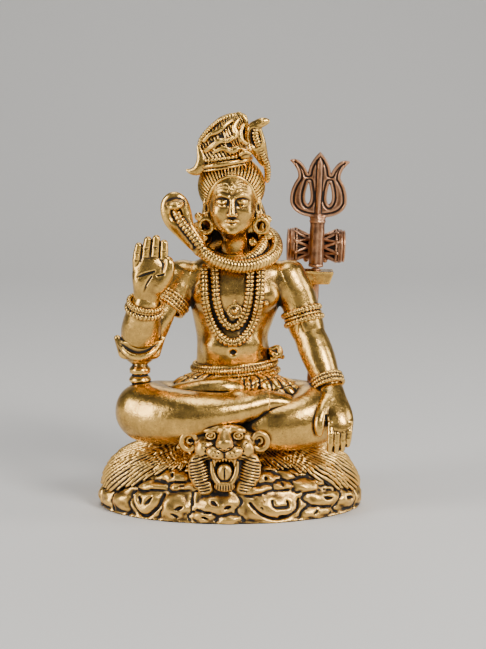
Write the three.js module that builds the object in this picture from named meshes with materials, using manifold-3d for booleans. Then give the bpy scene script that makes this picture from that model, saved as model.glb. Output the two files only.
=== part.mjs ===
// A small cast brass statue: a seated, blessing ascetic god with a cobra round his neck, on a rocky mound
// draped with a tiger's pelt. A trident with an hourglass drum stands in a bracket behind his left shoulder
// and lifts out. Millimetres, +Z up, origin at the middle of the flat foot of the mound, the figure facing
// -Y. "Right" and "left" are the figure's own sides: his raised right hand is on the -X side.

import * as THREE from "three";
import { mergeVertices } from "three/addons/utils/BufferGeometryUtils.js";
import Module from "manifold-3d";

const wasm = await Module();
wasm.setup();

// ---- driving dimensions -------------------------------------------------------------------------------
const baseWidth = 79; // across the foot of the mound
const baseDepth = 52; // front to back
const baseHeight = 22; // top of the pelt on the mound
const baseWall = 3.4; // thickness of the hollow rock
const moundPower = 2.9; // how boxy the mound's profile is: 2 is an ellipsoid
const frontEase = 0.7; // how much less boxy its front is
const rockFootHeight = 6.5; // bare rock below the hem of the pelt
const peltThickness = 1.8;
const figureHeight = 93.6; // top of the pelt to the tip of the topknot
const seam = 0.3; // gap between neighbouring castings, which brazing fills

const rodDiameter = 2.6; // the trident's tang, which drops through the bracket
const rodClearance = 0.3; // round the tang, on the radius
const rodSocketDepth = 4.2; // how far the tang stands in the mound
const shaftDiameter = 4.4; // the trident's thick upper shaft
const shaftLength = 14.4;
const tridentLean = 2; // degrees, top towards the figure's left
const tridentSpan = 17.8; // across the tips of the outer prongs
const tridentRise = 19.4; // foot of the head to the tip of the middle prong
const tridentThickness = 2.8;
const bracketTop = { width: 11.2, depth: 8.4 };
const bracketFoot = { width: 5.2, depth: 5.4 };
const bracketHeight = 4.8;

const drumLength = 17.8;
const drumRadius = 5.1;
const drumWaist = 2.4; // radius of the waist
const drumSkinThickness = 0.9;

const snakeRadius = 2.05;
const beltHeight = 3;
const beltThickness = 1.3;
const cordThickness = 0.9;
const armletThickness = 0.9;
const earringRadius = 2.1;
const earringWire = 0.55; // radius of the wire
const hairBandThickness = 0.9;
const moonRadius = 3.9; // the moon grows with the figure
const moonThickness = 1.9;

const studDiameter = 4; // the stud that holds the figure down on the mound
const studReach = 6; // into the figure
const studClearance = 0.3;
const washerRadius = 4.6;
const washerThickness = 1;
const nutAcrossFlats = 7;
const nutThickness = 3.2;

// ---- the figure's grid --------------------------------------------------------------------------------
// The figure's tables are in a grid that is 93.6 high, with heights measured from the top of the pelt, and
// k takes them to the height asked for.
const k = figureHeight / 93.6;
const toFigure = ([x, y, z, ...radii]) => [x * k, y * k, baseHeight + z * k, ...radii.map((r) => r * k)];

const studPlace = { x: 0.9 * k, y: 4.6 * k };
const bracketLevel = baseHeight + 47.4 * k;
const facing = [0, -1, 0]; // the way a thing looks when it is thin from front to back

// Limbs and other tapering bars: stations [x, y, z, half width, half thickness if it differs].
const rightThigh = [[-7, 7, 8, 7.6, 7.2], [-16, 0, 9.2, 7.9], [-24.8, -7.6, 7.6, 8]];
const leftThigh = [[8, 7, 8, 7.6, 7.2], [17, 0, 9.2, 7.9], [26, -7.6, 7, 7.8]];
const rightShin = [
  [-25, -8, 7.4, 7.9], [-17, -14.2, 6.8, 7.2], [-8, -16.4, 7.4, 5.8],
  [1, -15.6, 9.2, 4.3], [8.2, -14.2, 10.4, 3.3],
];
const leftShin = [[26, -8, 6.8, 7.7], [18.5, -13.6, 4.6, 7], [11, -15.2, 3.4, 5.6], [4, -13, 3.2, 4]];
const rightFoot = [
  [8.6, -13, 11.2, 2.8, 3], [14, -12.4, 11.2, 3.2, 2.2],
  [18.6, -11.6, 10.2, 3.2, 1.5], [21.4, -11, 9.4, 2.6, 1.1],
];
const leftFoot = [
  [-0.4, -8.8, 14, 2.6, 2.4], [-6, -9, 14.8, 2.7, 2.2],
  [-12, -8.8, 14.6, 2.9, 1.8], [-16.8, -8.4, 13.8, 2.4, 1.3],
];
const rightUpperArm = [
  [-14, 3, 44.2, 5.2], [-17.4, 0.8, 39, 4.6],
  [-21.2, -2, 33.4, 4.3], [-24.4, -4, 28.8, 4.2],
];
const leftUpperArm = [
  [17.4, 3.2, 44.2, 5.3], [19.8, 2.4, 39.4, 4.5],
  [21.4, 1.2, 33.6, 4.4], [22.9, 0, 29.6, 4.5],
];
const rightForearm = [
  [-25.8, -6.2, 27.6, 4.6], [-25.7, -7.6, 31, 5.2],
  [-25, -9.4, 36, 4.4], [-24.2, -10.9, 40, 3.4],
];
const leftForearm = [
  [23.6, -1, 28, 4.6], [25.6, -3.6, 23, 4.4],
  [27.6, -6.4, 18, 3.6], [29, -8.6, 14.4, 3.1],
];
const neckStations = [[1.9, 2.6, 51, 4], [1.5, 2, 56, 3.7], [1, 1, 62, 3.8]];
const rightHand = {
  up: facing,
  palm: [[-24, -11.4, 42.4, 3, 2.5], [-23, -12, 45.4, 4.4, 2.4], [-22.5, -12.2, 49.6, 5, 1.9]],
  little: [[-26.4, -12.2, 49.4, 1.15], [-26.6, -12.4, 53, 1.1], [-26.2, -12.4, 56, 0.9]],
  ring: [[-23.8, -12.2, 50, 1.2], [-23.8, -12.5, 54, 1.2], [-23.3, -12.5, 57.6, 0.95]],
  middle: [[-21.3, -12.2, 50, 1.2], [-21.2, -12.5, 54, 1.2], [-20.9, -12.5, 58.2, 0.95]],
  index: [[-18.9, -12.2, 49.4, 1.2], [-18.7, -12.4, 53.4, 1.2], [-18.7, -12.4, 57, 0.95]],
  thumb: [[-19.6, -12.4, 45, 1.9], [-17.6, -13.2, 48.6, 1.4], [-17.2, -13.6, 52, 1.05]],
};
const leftHand = {
  up: [0.3, -0.7, 0.7],
  palm: [[29.4, -9.8, 12.4, 3, 2.5], [29.9, -13, 9.6, 3.9, 2.2], [30.8, -16.4, 5.8, 4, 1.8]],
  thumb: [[27, -14.8, 9, 1.7], [25.6, -18.2, 6, 1.5], [25.3, -19, 2.8, 1.2]],
  index: [[28, -16.2, 5.6, 1.15], [28.2, -17.8, 1.6, 1.15], [28.6, -18.2, -2, 0.95]],
  middle: [[30.2, -16.6, 5.4, 1.15], [30.6, -17.8, 1.2, 1.15], [30.8, -17.8, -2.6, 0.95]],
  ring: [[32.3, -16, 5.6, 1.1], [32.9, -16.8, 1.8, 1.1], [33, -16.6, -1.6, 0.9]],
  little: [[34.2, -15, 6, 1], [35, -15.4, 3, 1], [35.1, -15.2, 0.4, 0.8]],
};
const hoodStations = [
  [-8.4, -5, 54.2, 2, 2], [-11, -4.2, 57.6, 2.6, 1.8],
  [-13.6, -3.4, 61.6, 4, 1.6], [-15.2, -2.8, 65.2, 4.5, 1.5],
  [-15.8, -3.4, 67.4, 3.2, 1.6],
];
const snakeRoute = [
  [-8.4, -5, 54.2], [-4, -6.6, 51.4], [2.6, -7, 49.8], [9, -5.4, 50.6], [13, -1, 53], [12.6, 4.6, 56.4],
  [9, 9.6, 58.4], [2.4, 11.2, 58.6], [-4.6, 10.2, 57.6], [-8.6, 6, 56], [-8.8, 1.2, 55.6], [-5.6, -2.6, 55.8],
  [0, -4.8, 54.4], [5.4, -3.8, 54], [8.8, 0.4, 56], [9.8, 4.6, 59.6],
];
const hairCobraStations = [
  [10.8, 4.4, 73.8, 0.8], [10.2, 3.8, 77.6, 1], [8.8, 2.8, 81.6, 1.4, 1.1], [7.4, 2, 85.4, 2.1, 1],
  [7.2, 1.4, 88.4, 1.7, 1], [9, 0.6, 90.4, 1.1, 0.9], [11, 0.2, 91, 0.7, 0.6],
];

// Bodies stacked of level ellipses: [height, middle x, middle y, half width, half depth].
const hipSections = [
  [0.4, 0.8, 4.6, 12.5, 9.4], [6, 0.9, 4.6, 17.4, 11.4], [11, 1.1, 4.4, 16.4, 11], [14.4, 1.3, 4, 13.6, 9.6],
  [17, 1.4, 3.8, 12.2, 8.8],
];
const torsoSections = [
  [17.3, 1.4, 3.7, 11.6, 8.1], [21, 1.2, 3.6, 11.2, 7.9],
  [27, 0.6, 3.6, 10.5, 7.2], [32, 0.9, 3.4, 11.6, 7.8],
  [38, 1.5, 3.2, 13.4, 8.6], [43, 1.7, 3.2, 14.6, 8.6], [47, 1.8, 3.4, 14.4, 7.8], [50, 1.8, 3.2, 12.2, 6.4],
  [53, 1.8, 3, 7.6, 5],
];
const backHairSections = [
  [42, 2, 10.4, 8, 2], [47, 1.9, 10.2, 10, 3.6], [54, 1.6, 9.2, 11, 4.4], [60, 1.2, 8.4, 10.2, 4.6],
  [66, 0.8, 8, 8.8, 4.4], [70, 0.6, 7.6, 6.4, 2.6],
];
const topknotSections = [
  [77, -1, 3.4, 7.8, 7.4], [82, -2.3, 3.4, 7.5, 7.2], [86, -1.8, 3.4, 6.8, 6.4], [89.4, -0.6, 3.4, 5.4, 5],
  [92, 1.2, 3.2, 3.4, 3.4], [93.6, 2.6, 3, 1.3, 1.5],
];

// ---- solids -------------------------------------------------------------------------------------------
function toSolid(geometry) {
  const bare = geometry.index ? geometry.toNonIndexed() : geometry.clone();
  bare.deleteAttribute("normal");
  bare.deleteAttribute("uv");
  const merged = mergeVertices(bare, 1e-4);
  const vertProperties = merged.attributes.position.array;
  const triVerts = new Uint32Array(merged.index.array);
  return new wasm.Manifold(new wasm.Mesh({ numProp: 3, vertProperties, triVerts }));
}

const join = (...solids) => solids.reduce((a, b) => a.add(b));

// Cuts the tools out and keeps the largest body: a caster files the crumbs away.
function cut(solid, ...tools) {
  const rest = tools.reduce((a, b) => a.subtract(b), solid);
  return rest.decompose().reduce((a, b) => (b.volume() > a.volume() ? b : a));
}

// A closed skin over rings of points, each ring counter-clockwise about the way the rings advance.
function loft(rings) {
  const sides = rings[0].length;
  const points = rings.flat();
  const faces = [];
  for (let i = 0; i + 1 < rings.length; i++)
    for (let j = 0; j < sides; j++) {
      const [a, b] = [i * sides + j, i * sides + ((j + 1) % sides)];
      faces.push(a, b, b + sides, a, b + sides, a + sides);
    }
  [0, rings.length - 1].forEach((i) => {
    const hub = points.length;
    points.push(rings[i].reduce((sum, p) => sum.add(p), new THREE.Vector3()).divideScalar(sides));
    for (let j = 0; j < sides; j++) {
      const [a, b] = [i * sides + j, i * sides + ((j + 1) % sides)];
      faces.push(...(i ? [hub, a, b] : [hub, b, a]));
    }
  });
  const geometry = new THREE.BufferGeometry().setFromPoints(points);
  return toSolid(geometry.setIndex(faces));
}

// A row between the rows of a table, on a smooth curve through them.
function between(rows, t) {
  const i = Math.min(Math.floor(t), rows.length - 2);
  const f = t - i;
  const row = (n) => rows[THREE.MathUtils.clamp(n, 0, rows.length - 1)];
  return rows[0].map((_, c) => {
    const [a, b, d, e] = [row(i - 1)[c], row(i)[c], row(i + 1)[c], row(i + 2)[c]];
    return b + 0.5 * f * (d - a + f * (2 * a - 5 * b + 4 * d - e + f * (3 * (b - d) + e - a)));
  });
}

const limbTable = (stations) => stations.map(toFigure).map((s) => (s.length === 4 ? [...s, s[3]] : s));

// A round-ended bar through its stations. Thickness is measured along "up", "from" and "to" take a part of
// it, counted in stations, and "grow" fattens it.
function limb(stations, { sides = 8, steps = 2, grow = 0, up = [0, 0, 1], ...part } = {}) {
  const { from = 0, to = stations.length - 1 } = part;
  const table = limbTable(stations);
  const last = Math.max(1, Math.round((to - from) * steps));
  const rows = Array.from({ length: last + 1 }, (_, i) => between(table, from + ((to - from) * i) / last));
  const place = rows.map((r) => new THREE.Vector3(...r));
  const ring = (i, share, shift) => {
    const tangent = place[Math.min(i + 1, last)].clone().sub(place[Math.max(i - 1, 0)]).normalize();
    const thick = new THREE.Vector3(...up).projectOnPlane(tangent).normalize();
    const wide = thick.clone().cross(tangent);
    const [a, b] = [rows[i][3] + grow, rows[i][4] + grow];
    return Array.from({ length: sides }, (_, j) => {
      const angle = (2 * Math.PI * (j + 0.5)) / sides;
      return place[i]
        .clone()
        .addScaledVector(wide, a * share * Math.cos(angle))
        .addScaledVector(thick, b * share * Math.sin(angle))
        .addScaledVector(tangent, shift * Math.min(a, b));
    });
  };
  const domes = [0.5, 1.15]; // angles of the rings of a rounded end
  return loft([
    ...domes.toReversed().map((d) => ring(0, Math.cos(d), -Math.sin(d))),
    ...rows.map((_, i) => ring(i, 1, 0)),
    ...domes.map((d) => ring(last, Math.cos(d), Math.sin(d))),
  ]);
}

function column(sections, { sides = 16, grow = 0 } = {}) {
  return loft(
    sections.map(([z, x, y, a, b]) =>
      Array.from({ length: sides }, (_, j) => {
        const angle = (2 * Math.PI * j) / sides;
        const reach = new THREE.Vector3((a * k + grow) * Math.cos(angle), (b * k + grow) * Math.sin(angle));
        return reach.add(new THREE.Vector3(...toFigure([x, y, z])));
      }),
    ),
  );
}

// An ellipsoid: [x, y, z, half width, half depth, half height] in the figure's grid.
function egg(place, { around = 10, down = 6, grow = 0 } = {}) {
  const [x, y, z, a, b, c] = toFigure(place);
  const ball = new THREE.SphereGeometry(1, around, down).rotateX(Math.PI / 2);
  return toSolid(ball.scale(a + grow, b + grow, c + grow).translate(x, y, z));
}

function slab(low, high, tilt = 0) {
  const block = new THREE.BoxGeometry(3 * baseWidth, 3 * baseDepth, high - low);
  return toSolid(block.rotateY(THREE.MathUtils.degToRad(tilt)).translate(0, 0, (low + high) / 2));
}

function post(radius, low, high, { x, y }, sides = 18) {
  const bar = new THREE.CylinderGeometry(radius, radius, high - low, sides).rotateX(Math.PI / 2);
  return toSolid(bar.translate(x, y, (low + high) / 2));
}

// A turned shape: [radius, height] pairs from axis to axis, on its foot at a place in the figure's grid.
function turned(profile, place, { sides = 12, flatten = 1 } = {}) {
  const points = profile.map(([r, h]) => new THREE.Vector2(r * k, h * k));
  const geometry = new THREE.LatheGeometry(points, sides).rotateX(Math.PI / 2).scale(1, flatten, 1);
  return toSolid(geometry.translate(...toFigure(place)));
}

// Half of space beyond a station of a limb, on the side given by "way", to trim a band square.
function beyond(stations, t, way) {
  const table = limbTable(stations);
  const at = (n) => new THREE.Vector3(...between(table, THREE.MathUtils.clamp(n, 0, table.length - 1)));
  const ahead = at(t + 0.05).sub(at(t - 0.05)).normalize();
  const size = 40;
  const block = new THREE.BoxGeometry(size, size, size).translate(0, 0, (way * size) / 2);
  block.applyQuaternion(new THREE.Quaternion().setFromUnitVectors(new THREE.Vector3(0, 0, 1), ahead));
  return toSolid(block.translate(...at(t).toArray()));
}

// A band round a limb between two places along it.
function bandOnLimb(stations, from, to) {
  const sleeve = limb(stations, { grow: seam + armletThickness, from: from - 0.1, to: to + 0.1 });
  return cut(sleeve, limb(stations, { grow: seam }), beyond(stations, from, -1), beyond(stations, to, 1));
}

// A band round a stacked body between two heights of the figure's grid.
function bandOnColumn(sections, low, high, thickness, tilt = 0) {
  const level = slab(baseHeight + low * k, baseHeight + high * k, tilt);
  return cut(column(sections, { grow: seam + thickness }).intersect(level), column(sections, { grow: seam }));
}

// ---- mound --------------------------------------------------------------------------------------------
// A stack of level ellipses that shrink with height as a superellipse does, the front less boxy.
const powerAt = (angle) => moundPower - frontEase * Math.max(0, -Math.sin(angle));

function mound(grow, { rows = 6, sides = 28 } = {}) {
  return loft(
    Array.from({ length: rows + 1 }, (_, i) => {
      const rise = Math.sin((Math.PI / 2) * (i / rows)) * 0.997;
      return Array.from({ length: sides }, (_, j) => {
        const angle = (2 * Math.PI * j) / sides;
        const share = (1 - rise ** powerAt(angle)) ** (1 / powerAt(angle));
        const x = (baseWidth / 2 + grow) * share * Math.cos(angle);
        const y = (baseDepth / 2 + grow) * share * Math.sin(angle);
        return new THREE.Vector3(x, y, (baseHeight + grow) * rise);
      });
    }),
  );
}

// The height of the grown mound over a point of its plan.
function moundHeight({ x, y }, grow) {
  const [u, v] = [x / (baseWidth / 2 + grow), y / (baseDepth / 2 + grow)];
  const power = powerAt(Math.atan2(v, u));
  return (baseHeight + grow) * (1 - Math.hypot(u, v) ** power) ** (1 / power);
}

const lap = (grow = 0) => egg([0, -8.8, 1, 22, 10.4, 4], { around: 14, down: 6, grow });
const rightLeg = (grow = 0) => join(limb(rightThigh, { grow }), limb(rightShin, { grow }));
const leftLeg = (grow = 0) => join(limb(leftThigh, { grow }), limb(leftShin, { grow }));
const legs = [rightLeg(seam), leftLeg(seam)];
const studHole = post(studDiameter / 2 + studClearance, 0, baseHeight + studReach + seam, studPlace);

// The trident's own frame: its axis leans, and height 0 is the top of the bracket.
const tridentFrame = new THREE.Matrix4()
  .makeTranslation(25.3 * k, 9.6 * k, bracketLevel)
  .multiply(new THREE.Matrix4().makeRotationY(THREE.MathUtils.degToRad(tridentLean)));
const onTrident = (geometry) => toSolid(geometry.applyMatrix4(tridentFrame));

function onShaft(radius, low, high, sides = 14) {
  const bar = new THREE.CylinderGeometry(radius, radius, high - low, sides).rotateX(Math.PI / 2);
  return onTrident(bar.translate(0, 0, (low + high) / 2));
}

const rodLanding = new THREE.Vector3(0, 0, -49 * k).applyMatrix4(tridentFrame);
const rodEnd = moundHeight(rodLanding, 0) - rodSocketDepth - bracketLevel; // in the trident's frame
const rodHole = onShaft(rodDiameter / 2 + rodClearance, rodEnd - seam, 5);
const shaftRoom = onShaft(shaftDiameter / 2 + seam, 0, shaftLength);

function rockBase() {
  const foot = mound(0).intersect(slab(0, rockFootHeight));
  const core = cut(mound(-peltThickness - seam), lap(seam));
  const hollow = mound(-baseWall - peltThickness, { rows: 5, sides: 20 });
  return cut(join(foot, core), hollow.translate([0, 0, -0.05]), hollow, studHole, rodHole);
}

function tigerPelt() {
  const skin = cut(join(mound(0), lap()), slab(-5, rockFootHeight + seam));
  return cut(skin, cut(mound(-peltThickness), lap()), ...legs, studHole, rodHole);
}

function tigerHead() {
  const middle = -0.9;
  const sides = [-1, 1];
  const skull = egg([middle, -17.6, -1.6, 6.4, 5.6, 6.6]);
  const brow = egg([middle, -20.8, 1, 4.6, 3, 3]);
  const muzzle = egg([middle, -22.4, -2.2, 3.6, 3, 2.4]);
  const jaw = egg([middle, -22.8, -8.8, 2.9, 2.6, 2.6]);
  const ears = sides.map((s) => egg([middle + s * 7.2, -20.2, 0.4, 2.9, 1.5, 2.7], { around: 8 }));
  const ruffs = sides.map((s) => {
    const curve = [[5.6, -20.4, -3.6, 2.2, 1.6], [5.4, -22, -8, 2.2, 1.6], [2.4, -23.4, -12, 1.6, 1.2]];
    const stations = curve.map(([x, ...rest]) => [middle + s * x, ...rest]);
    return limb(stations, { sides: 6, steps: 1, up: facing });
  });
  return cut(join(skull, brow, muzzle, jaw, ...ears, ...ruffs), mound(seam), lap(seam), ...legs);
}

// ---- figure -------------------------------------------------------------------------------------------
const [cordLow, cordTop, beltLow] = [15.8, 17, 17.6]; // heights in the figure's grid
const beltTop = beltLow + beltHeight / k;
const hips = (grow = 0) => column(hipSections, { grow });
const torso = (grow = 0) => column(torsoSections, { grow });
const neck = (grow = 0) => limb(neckStations, { grow, sides: 10, steps: 1 });
const hairMass = (grow = 0) => egg([0.4, 3, 72, 10, 9.4, 9.4], { around: 14, down: 9, grow });
const topknot = (grow = 0) => column(topknotSections, { grow, sides: 12 });
const hairBand = () => bandOnColumn(topknotSections, 79.4, 81.4, hairBandThickness, -9);
const sashKnot = (grow = 0) => egg([13, 1, beltTop + 2.7, 2.3, 3, 2.4], { grow });
const cup = () => join(limb(rightForearm, { grow: seam }), limb(rightUpperArm, { grow: seam }));

function head(grow = 0) {
  const skull = egg([0.6, 1.6, 70.6, 7.3, 8.4, 9.2], { around: 14, down: 9, grow });
  const face = egg([0.7, -1.4, 64.4, 5.2, 5.6, 6.2], { around: 12, down: 8, grow });
  const nose = limb([[0.7, -6.4, 69, 0.8], [0.7, -7.6, 66.4, 1.2]], { sides: 6, grow });
  const ears = [-6.4, 7.8].map((x) => egg([x, -0.4, 66.6, 1.6, 1.6, 3], { around: 8, down: 5, grow }));
  return join(skull, face, neck(grow), nose, ...ears);
}

function hairCap() {
  const faceWindow = egg([0.7, -8.6, 66.2, 7.6, 9, 9.8], { around: 14, down: 8 });
  const below = egg([0.6, 0, 59.6, 9.6, 10, 7], { around: 12 });
  return cut(hairMass(), faceWindow, below, head(seam));
}

function earring(x, grow = 0) {
  const ring = new THREE.TorusGeometry(earringRadius, earringWire + grow, 6, 12).rotateX(Math.PI / 2);
  return toSolid(ring.translate(...toFigure([x, -0.6, 61.4])));
}

const earringPlaces = [-6.9, 8.3];
const earringRoom = earringPlaces.map((x) => earring(x, seam));

function neckCobra(grow = 0) {
  const taper = (i) => (i < 11 ? 1 : 1 - (i - 10) * 0.09);
  const body = snakeRoute.map((place, i) => [...place, (snakeRadius / k) * taper(i)]);
  const hood = limb(hoodStations, { grow, up: facing });
  const snout = egg([-16, -5.2, 67.6, 1.9, 2.4, 1.4], { around: 10, down: 6, grow });
  return join(limb(body, { grow, sides: 7, steps: 1.3 }), hood, snout);
}

const snakeRoom = neckCobra(seam);

function backHair() {
  return cut(column(backHairSections), hairMass(seam), head(seam), torso(seam), snakeRoom, ...earringRoom);
}

// The front surface of the chest, in the figure's grid.
function chestFront(x, z) {
  const at = torsoSections.findIndex((s) => s[0] > z);
  const [low, high] = [torsoSections[at - 1], torsoSections[at]];
  const f = (z - low[0]) / (high[0] - low[0]);
  const [, cx, cy, a, b] = low.map((v, i) => v + f * (high[i] - v));
  return cy - b * Math.sqrt(Math.max(0, 1 - ((x - cx) / a) ** 2));
}

// A string of beads that hangs on the chest in a U from under the cobra.
function mala(halfWidth, bottom, radius) {
  const top = 47;
  const stations = Array.from({ length: 11 }, (_, i) => {
    const turn = (Math.PI * i) / 10;
    const x = 1.7 - halfWidth * Math.cos(turn);
    const z = top - (top - bottom) * Math.sin(turn) ** 0.8;
    return [x, chestFront(x, z) - radius - 0.2, z, radius];
  });
  return cut(limb(stations, { sides: 5, steps: 1, up: facing }), torso(seam), snakeRoom);
}

function hand({ up, palm, ...digits }, ...tools) {
  const fingers = Object.values(digits).map((f) => limb(f, { sides: 5, steps: 1, up }));
  return cut(join(limb(palm, { up }), ...fingers), ...tools);
}

// A crescent that stands upright, its horns one above the other and open to the figure's right.
function crescentMoon() {
  const reach = 1.27; // half the angle it goes round
  const horn = new THREE.Vector2(Math.cos(reach) * 0.75, Math.sin(reach) * 0.97).multiplyScalar(moonRadius);
  const moon = new THREE.Shape();
  moon.absarc(0, 0, moonRadius, -reach, reach, false);
  moon.lineTo(horn.x, horn.y);
  moon.quadraticCurveTo(moonRadius * 0.5, horn.y * 0.5, moonRadius * 0.36, 0);
  moon.quadraticCurveTo(moonRadius * 0.5, -horn.y * 0.5, horn.x, -horn.y);
  moon.closePath();
  const look = { depth: moonThickness, bevelEnabled: false, curveSegments: 7 };
  const tilt = THREE.MathUtils.degToRad(22);
  const plate = new THREE.ExtrudeGeometry(moon, look).rotateX(Math.PI / 2).rotateY(tilt);
  plate.scale(k, k, k).translate(...toFigure([-12, 0.6, 80]));
  return cut(toSolid(plate), topknot(seam), hairMass(seam));
}

const moonSeat = egg([-10.8, -0.4, 80, 3.4, 2, 4.8], { around: 8 }); // the hair band stops at the moon

const armrestPlace = [-26.2, -6.4, 14.4];
const armrestProfile = [
  [0, -2], [3, -2], [3.3, -0.2], [2.5, 0.5], [2.5, 1.1], [3.1, 1.7], [3.1, 2.6], [2.4, 3.2], [2.4, 3.8],
  [3, 4.4], [3, 5.6], [2.3, 6.2], [2.3, 6.8], [0, 6.8],
];
const cradleProfile = [
  [0, 7.1], [2.3, 7.1], [4, 8.4], [5.8, 11],
  [6.6, 14.6], [5.6, 14.6], [4.6, 11.4], [0, 9.4],
];

// ---- trident and drum ---------------------------------------------------------------------------------
function tridentHead() {
  const tip = tridentSpan / 2;
  const [bowl, waist, rise] = [tip * 0.94, tip * 0.7, tridentRise];
  const half = (s) => [
    [s * bowl * 0.85, 0.01, s * bowl, 0.22],
    [s * bowl * 1.04, 0.4, s * waist, 0.6],
    [s * waist * 1.02, 0.72, s * tip, 0.86],
    [s * waist * 0.85, 0.84, s * waist * 0.58, 0.7],
    [s * waist * 0.42, 0.86, 0, 1],
  ];
  const outline = new THREE.Shape();
  outline.moveTo(0, 0);
  half(1).forEach(([cx, cy, x, y]) => outline.quadraticCurveTo(cx, cy * rise, x, y * rise));
  const back = half(-1).toReversed();
  back.forEach(([cx, cy], i) => {
    const [, , x, y] = back[i + 1] ?? [0, 0, 0, 0];
    outline.quadraticCurveTo(cx, cy * rise, x, y * rise);
  });
  [-1, 1].forEach((s) => {
    const eye = new THREE.Path();
    const x = s * bowl * 0.36;
    eye.moveTo(x, rise * 0.58);
    eye.quadraticCurveTo(x + s * 2.2, rise * 0.3, x, rise * 0.19);
    eye.quadraticCurveTo(x - s * 1.8, rise * 0.28, x, rise * 0.58);
    outline.holes.push(eye);
  });
  const bevel = 0.5;
  const plate = new THREE.ExtrudeGeometry(outline, {
    depth: tridentThickness - 2 * bevel,
    bevelSize: bevel,
    bevelThickness: bevel,
    bevelOffset: -bevel,
    bevelSegments: 1,
    curveSegments: 4,
  });
  return onTrident(plate.rotateX(Math.PI / 2).translate(0, tridentThickness / 2 - bevel, shaftLength + seam));
}

function shoulderBracket() {
  const rings = [bracketFoot, bracketTop].map(({ width, depth }, top) => {
    const z = top ? -seam : -bracketHeight;
    const corners = [[-1, -1], [1, -1], [1, 1], [-1, 1]];
    const corner = ([x, y]) => new THREE.Vector3((x * width) / 2, (y * depth) / 2, z);
    return corners.map((place) => corner(place).applyMatrix4(tridentFrame));
  });
  const lug = limb([[17, 5.6, 43.2, 2], [24, 8.8, 44.6, 1.9]], { sides: 8 });
  return cut(join(loft(rings), lug), limb(leftUpperArm, { grow: seam }), torso(seam), rodHole);
}

// The drum lies across the back of the shaft, its waist tied against it.
const drumPlace = [0, shaftDiameter / 2 + drumWaist + seam, 5.8];
const onDrum = (geometry) => onTrident(geometry.rotateZ(-Math.PI / 2).translate(...drumPlace));

function drumBody() {
  const half = drumLength / 2 - drumSkinThickness - 0.1;
  const flare = [[drumWaist, 0.8], [drumRadius * 0.78, half * 0.55], [drumRadius, half - 1.6]];
  const side = [...flare, [drumRadius, half], [0, half]];
  const profile = [...side.map(([r, h]) => [r, -h]).toReversed(), ...side];
  const body = new THREE.LatheGeometry(profile.map((p) => new THREE.Vector2(...p)), 18);
  return cut(onDrum(body), shaftRoom);
}

function drumSkin(side) {
  const radius = drumRadius * 0.98;
  const disc = new THREE.CylinderGeometry(radius, radius, drumSkinThickness - 0.2, 18);
  return onDrum(disc.translate(0, (side * (drumLength - drumSkinThickness)) / 2, 0));
}

// One cord ties the drum's waist and ends in two knotted strikers.
function drumCord() {
  const loop = onDrum(new THREE.TorusGeometry(drumWaist + seam + 0.35, 0.35, 5, 12).rotateX(Math.PI / 2));
  const low = drumPlace[2] - drumWaist - 0.7;
  const strands = [-1, 1].flatMap((s) => {
    const end = [s * 2.4, drumPlace[1] - 0.6, low - 1];
    const start = new THREE.Vector3(s * 0.1, drumPlace[1], low + 0.1);
    const path = new THREE.LineCurve3(start, new THREE.Vector3(...end));
    const section = new THREE.Shape().absarc(0, 0, 0.35, 0, 2 * Math.PI);
    const cord = new THREE.ExtrudeGeometry(section, { steps: 1, extrudePath: path, curveSegments: 5 });
    return [onTrident(cord), onTrident(new THREE.SphereGeometry(0.8, 6, 4).translate(...end))];
  });
  return cut(join(loop, ...strands), shaftRoom);
}

// ---- stud under the figure ----------------------------------------------------------------------------
const washerRim = { x: studPlace.x, y: studPlace.y + washerRadius };
const washerTop = moundHeight(washerRim, -baseWall - peltThickness) - 0.2;
const nutTop = washerTop - washerThickness - 0.1;
const nutFoot = nutTop - nutThickness;
const studBore = post(studDiameter / 2 + 0.2, 0, baseHeight, studPlace);

// ---- assembly -----------------------------------------------------------------------------------------
const gold = { color: 0xd9a23c, roughness: 0.32, metalness: 1 };
const darkGold = { color: 0xb98a3a, roughness: 0.45, metalness: 1 };
const redBrass = { color: 0xb06f45, roughness: 0.42, metalness: 1 };
const statue = new THREE.Group();

function add(look, name, solid) {
  const { vertProperties, triVerts } = solid.getMesh();
  const geometry = new THREE.BufferGeometry();
  geometry.setAttribute("position", new THREE.BufferAttribute(new Float32Array(vertProperties), 3));
  geometry.setIndex(new THREE.BufferAttribute(new Uint32Array(triVerts), 1));
  geometry.computeVertexNormals();
  const mesh = new THREE.Mesh(geometry, new THREE.MeshStandardMaterial(look));
  mesh.name = name;
  statue.add(mesh);
}

const groundRoom = [mound(seam), lap(seam)];
const beltRoom = column(hipSections, { grow: 2 * seam + cordThickness });

add(darkGold, "rock_base", rockBase());
add(darkGold, "tiger_pelt", tigerPelt());
add(darkGold, "tiger_head", tigerHead());

add(gold, "loincloth", cut(hips(), ...groundRoom, ...legs, studHole));
add(gold, "right_leg", cut(rightLeg(), mound(seam), studHole));
add(gold, "left_leg", cut(leftLeg(), mound(seam), legs[0], studHole, rodHole));
add(gold, "right_foot", cut(limb(rightFoot, { up: [0, -0.45, 1] }), ...legs, beltRoom));
add(gold, "left_foot", cut(limb(leftFoot, { up: [0, -0.45, 1] }), ...legs, beltRoom));
add(gold, "torso", cut(torso(), neck(seam), ...legs));
const belt = bandOnColumn(torsoSections, beltLow, beltTop, beltThickness);
add(gold, "waist_belt", cut(belt, ...legs, sashKnot(seam)));
add(gold, "waist_cord", cut(bandOnColumn(hipSections, cordLow, cordTop, cordThickness), ...legs));
add(gold, "sash_knot", cut(sashKnot(), torso(seam)));

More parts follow.
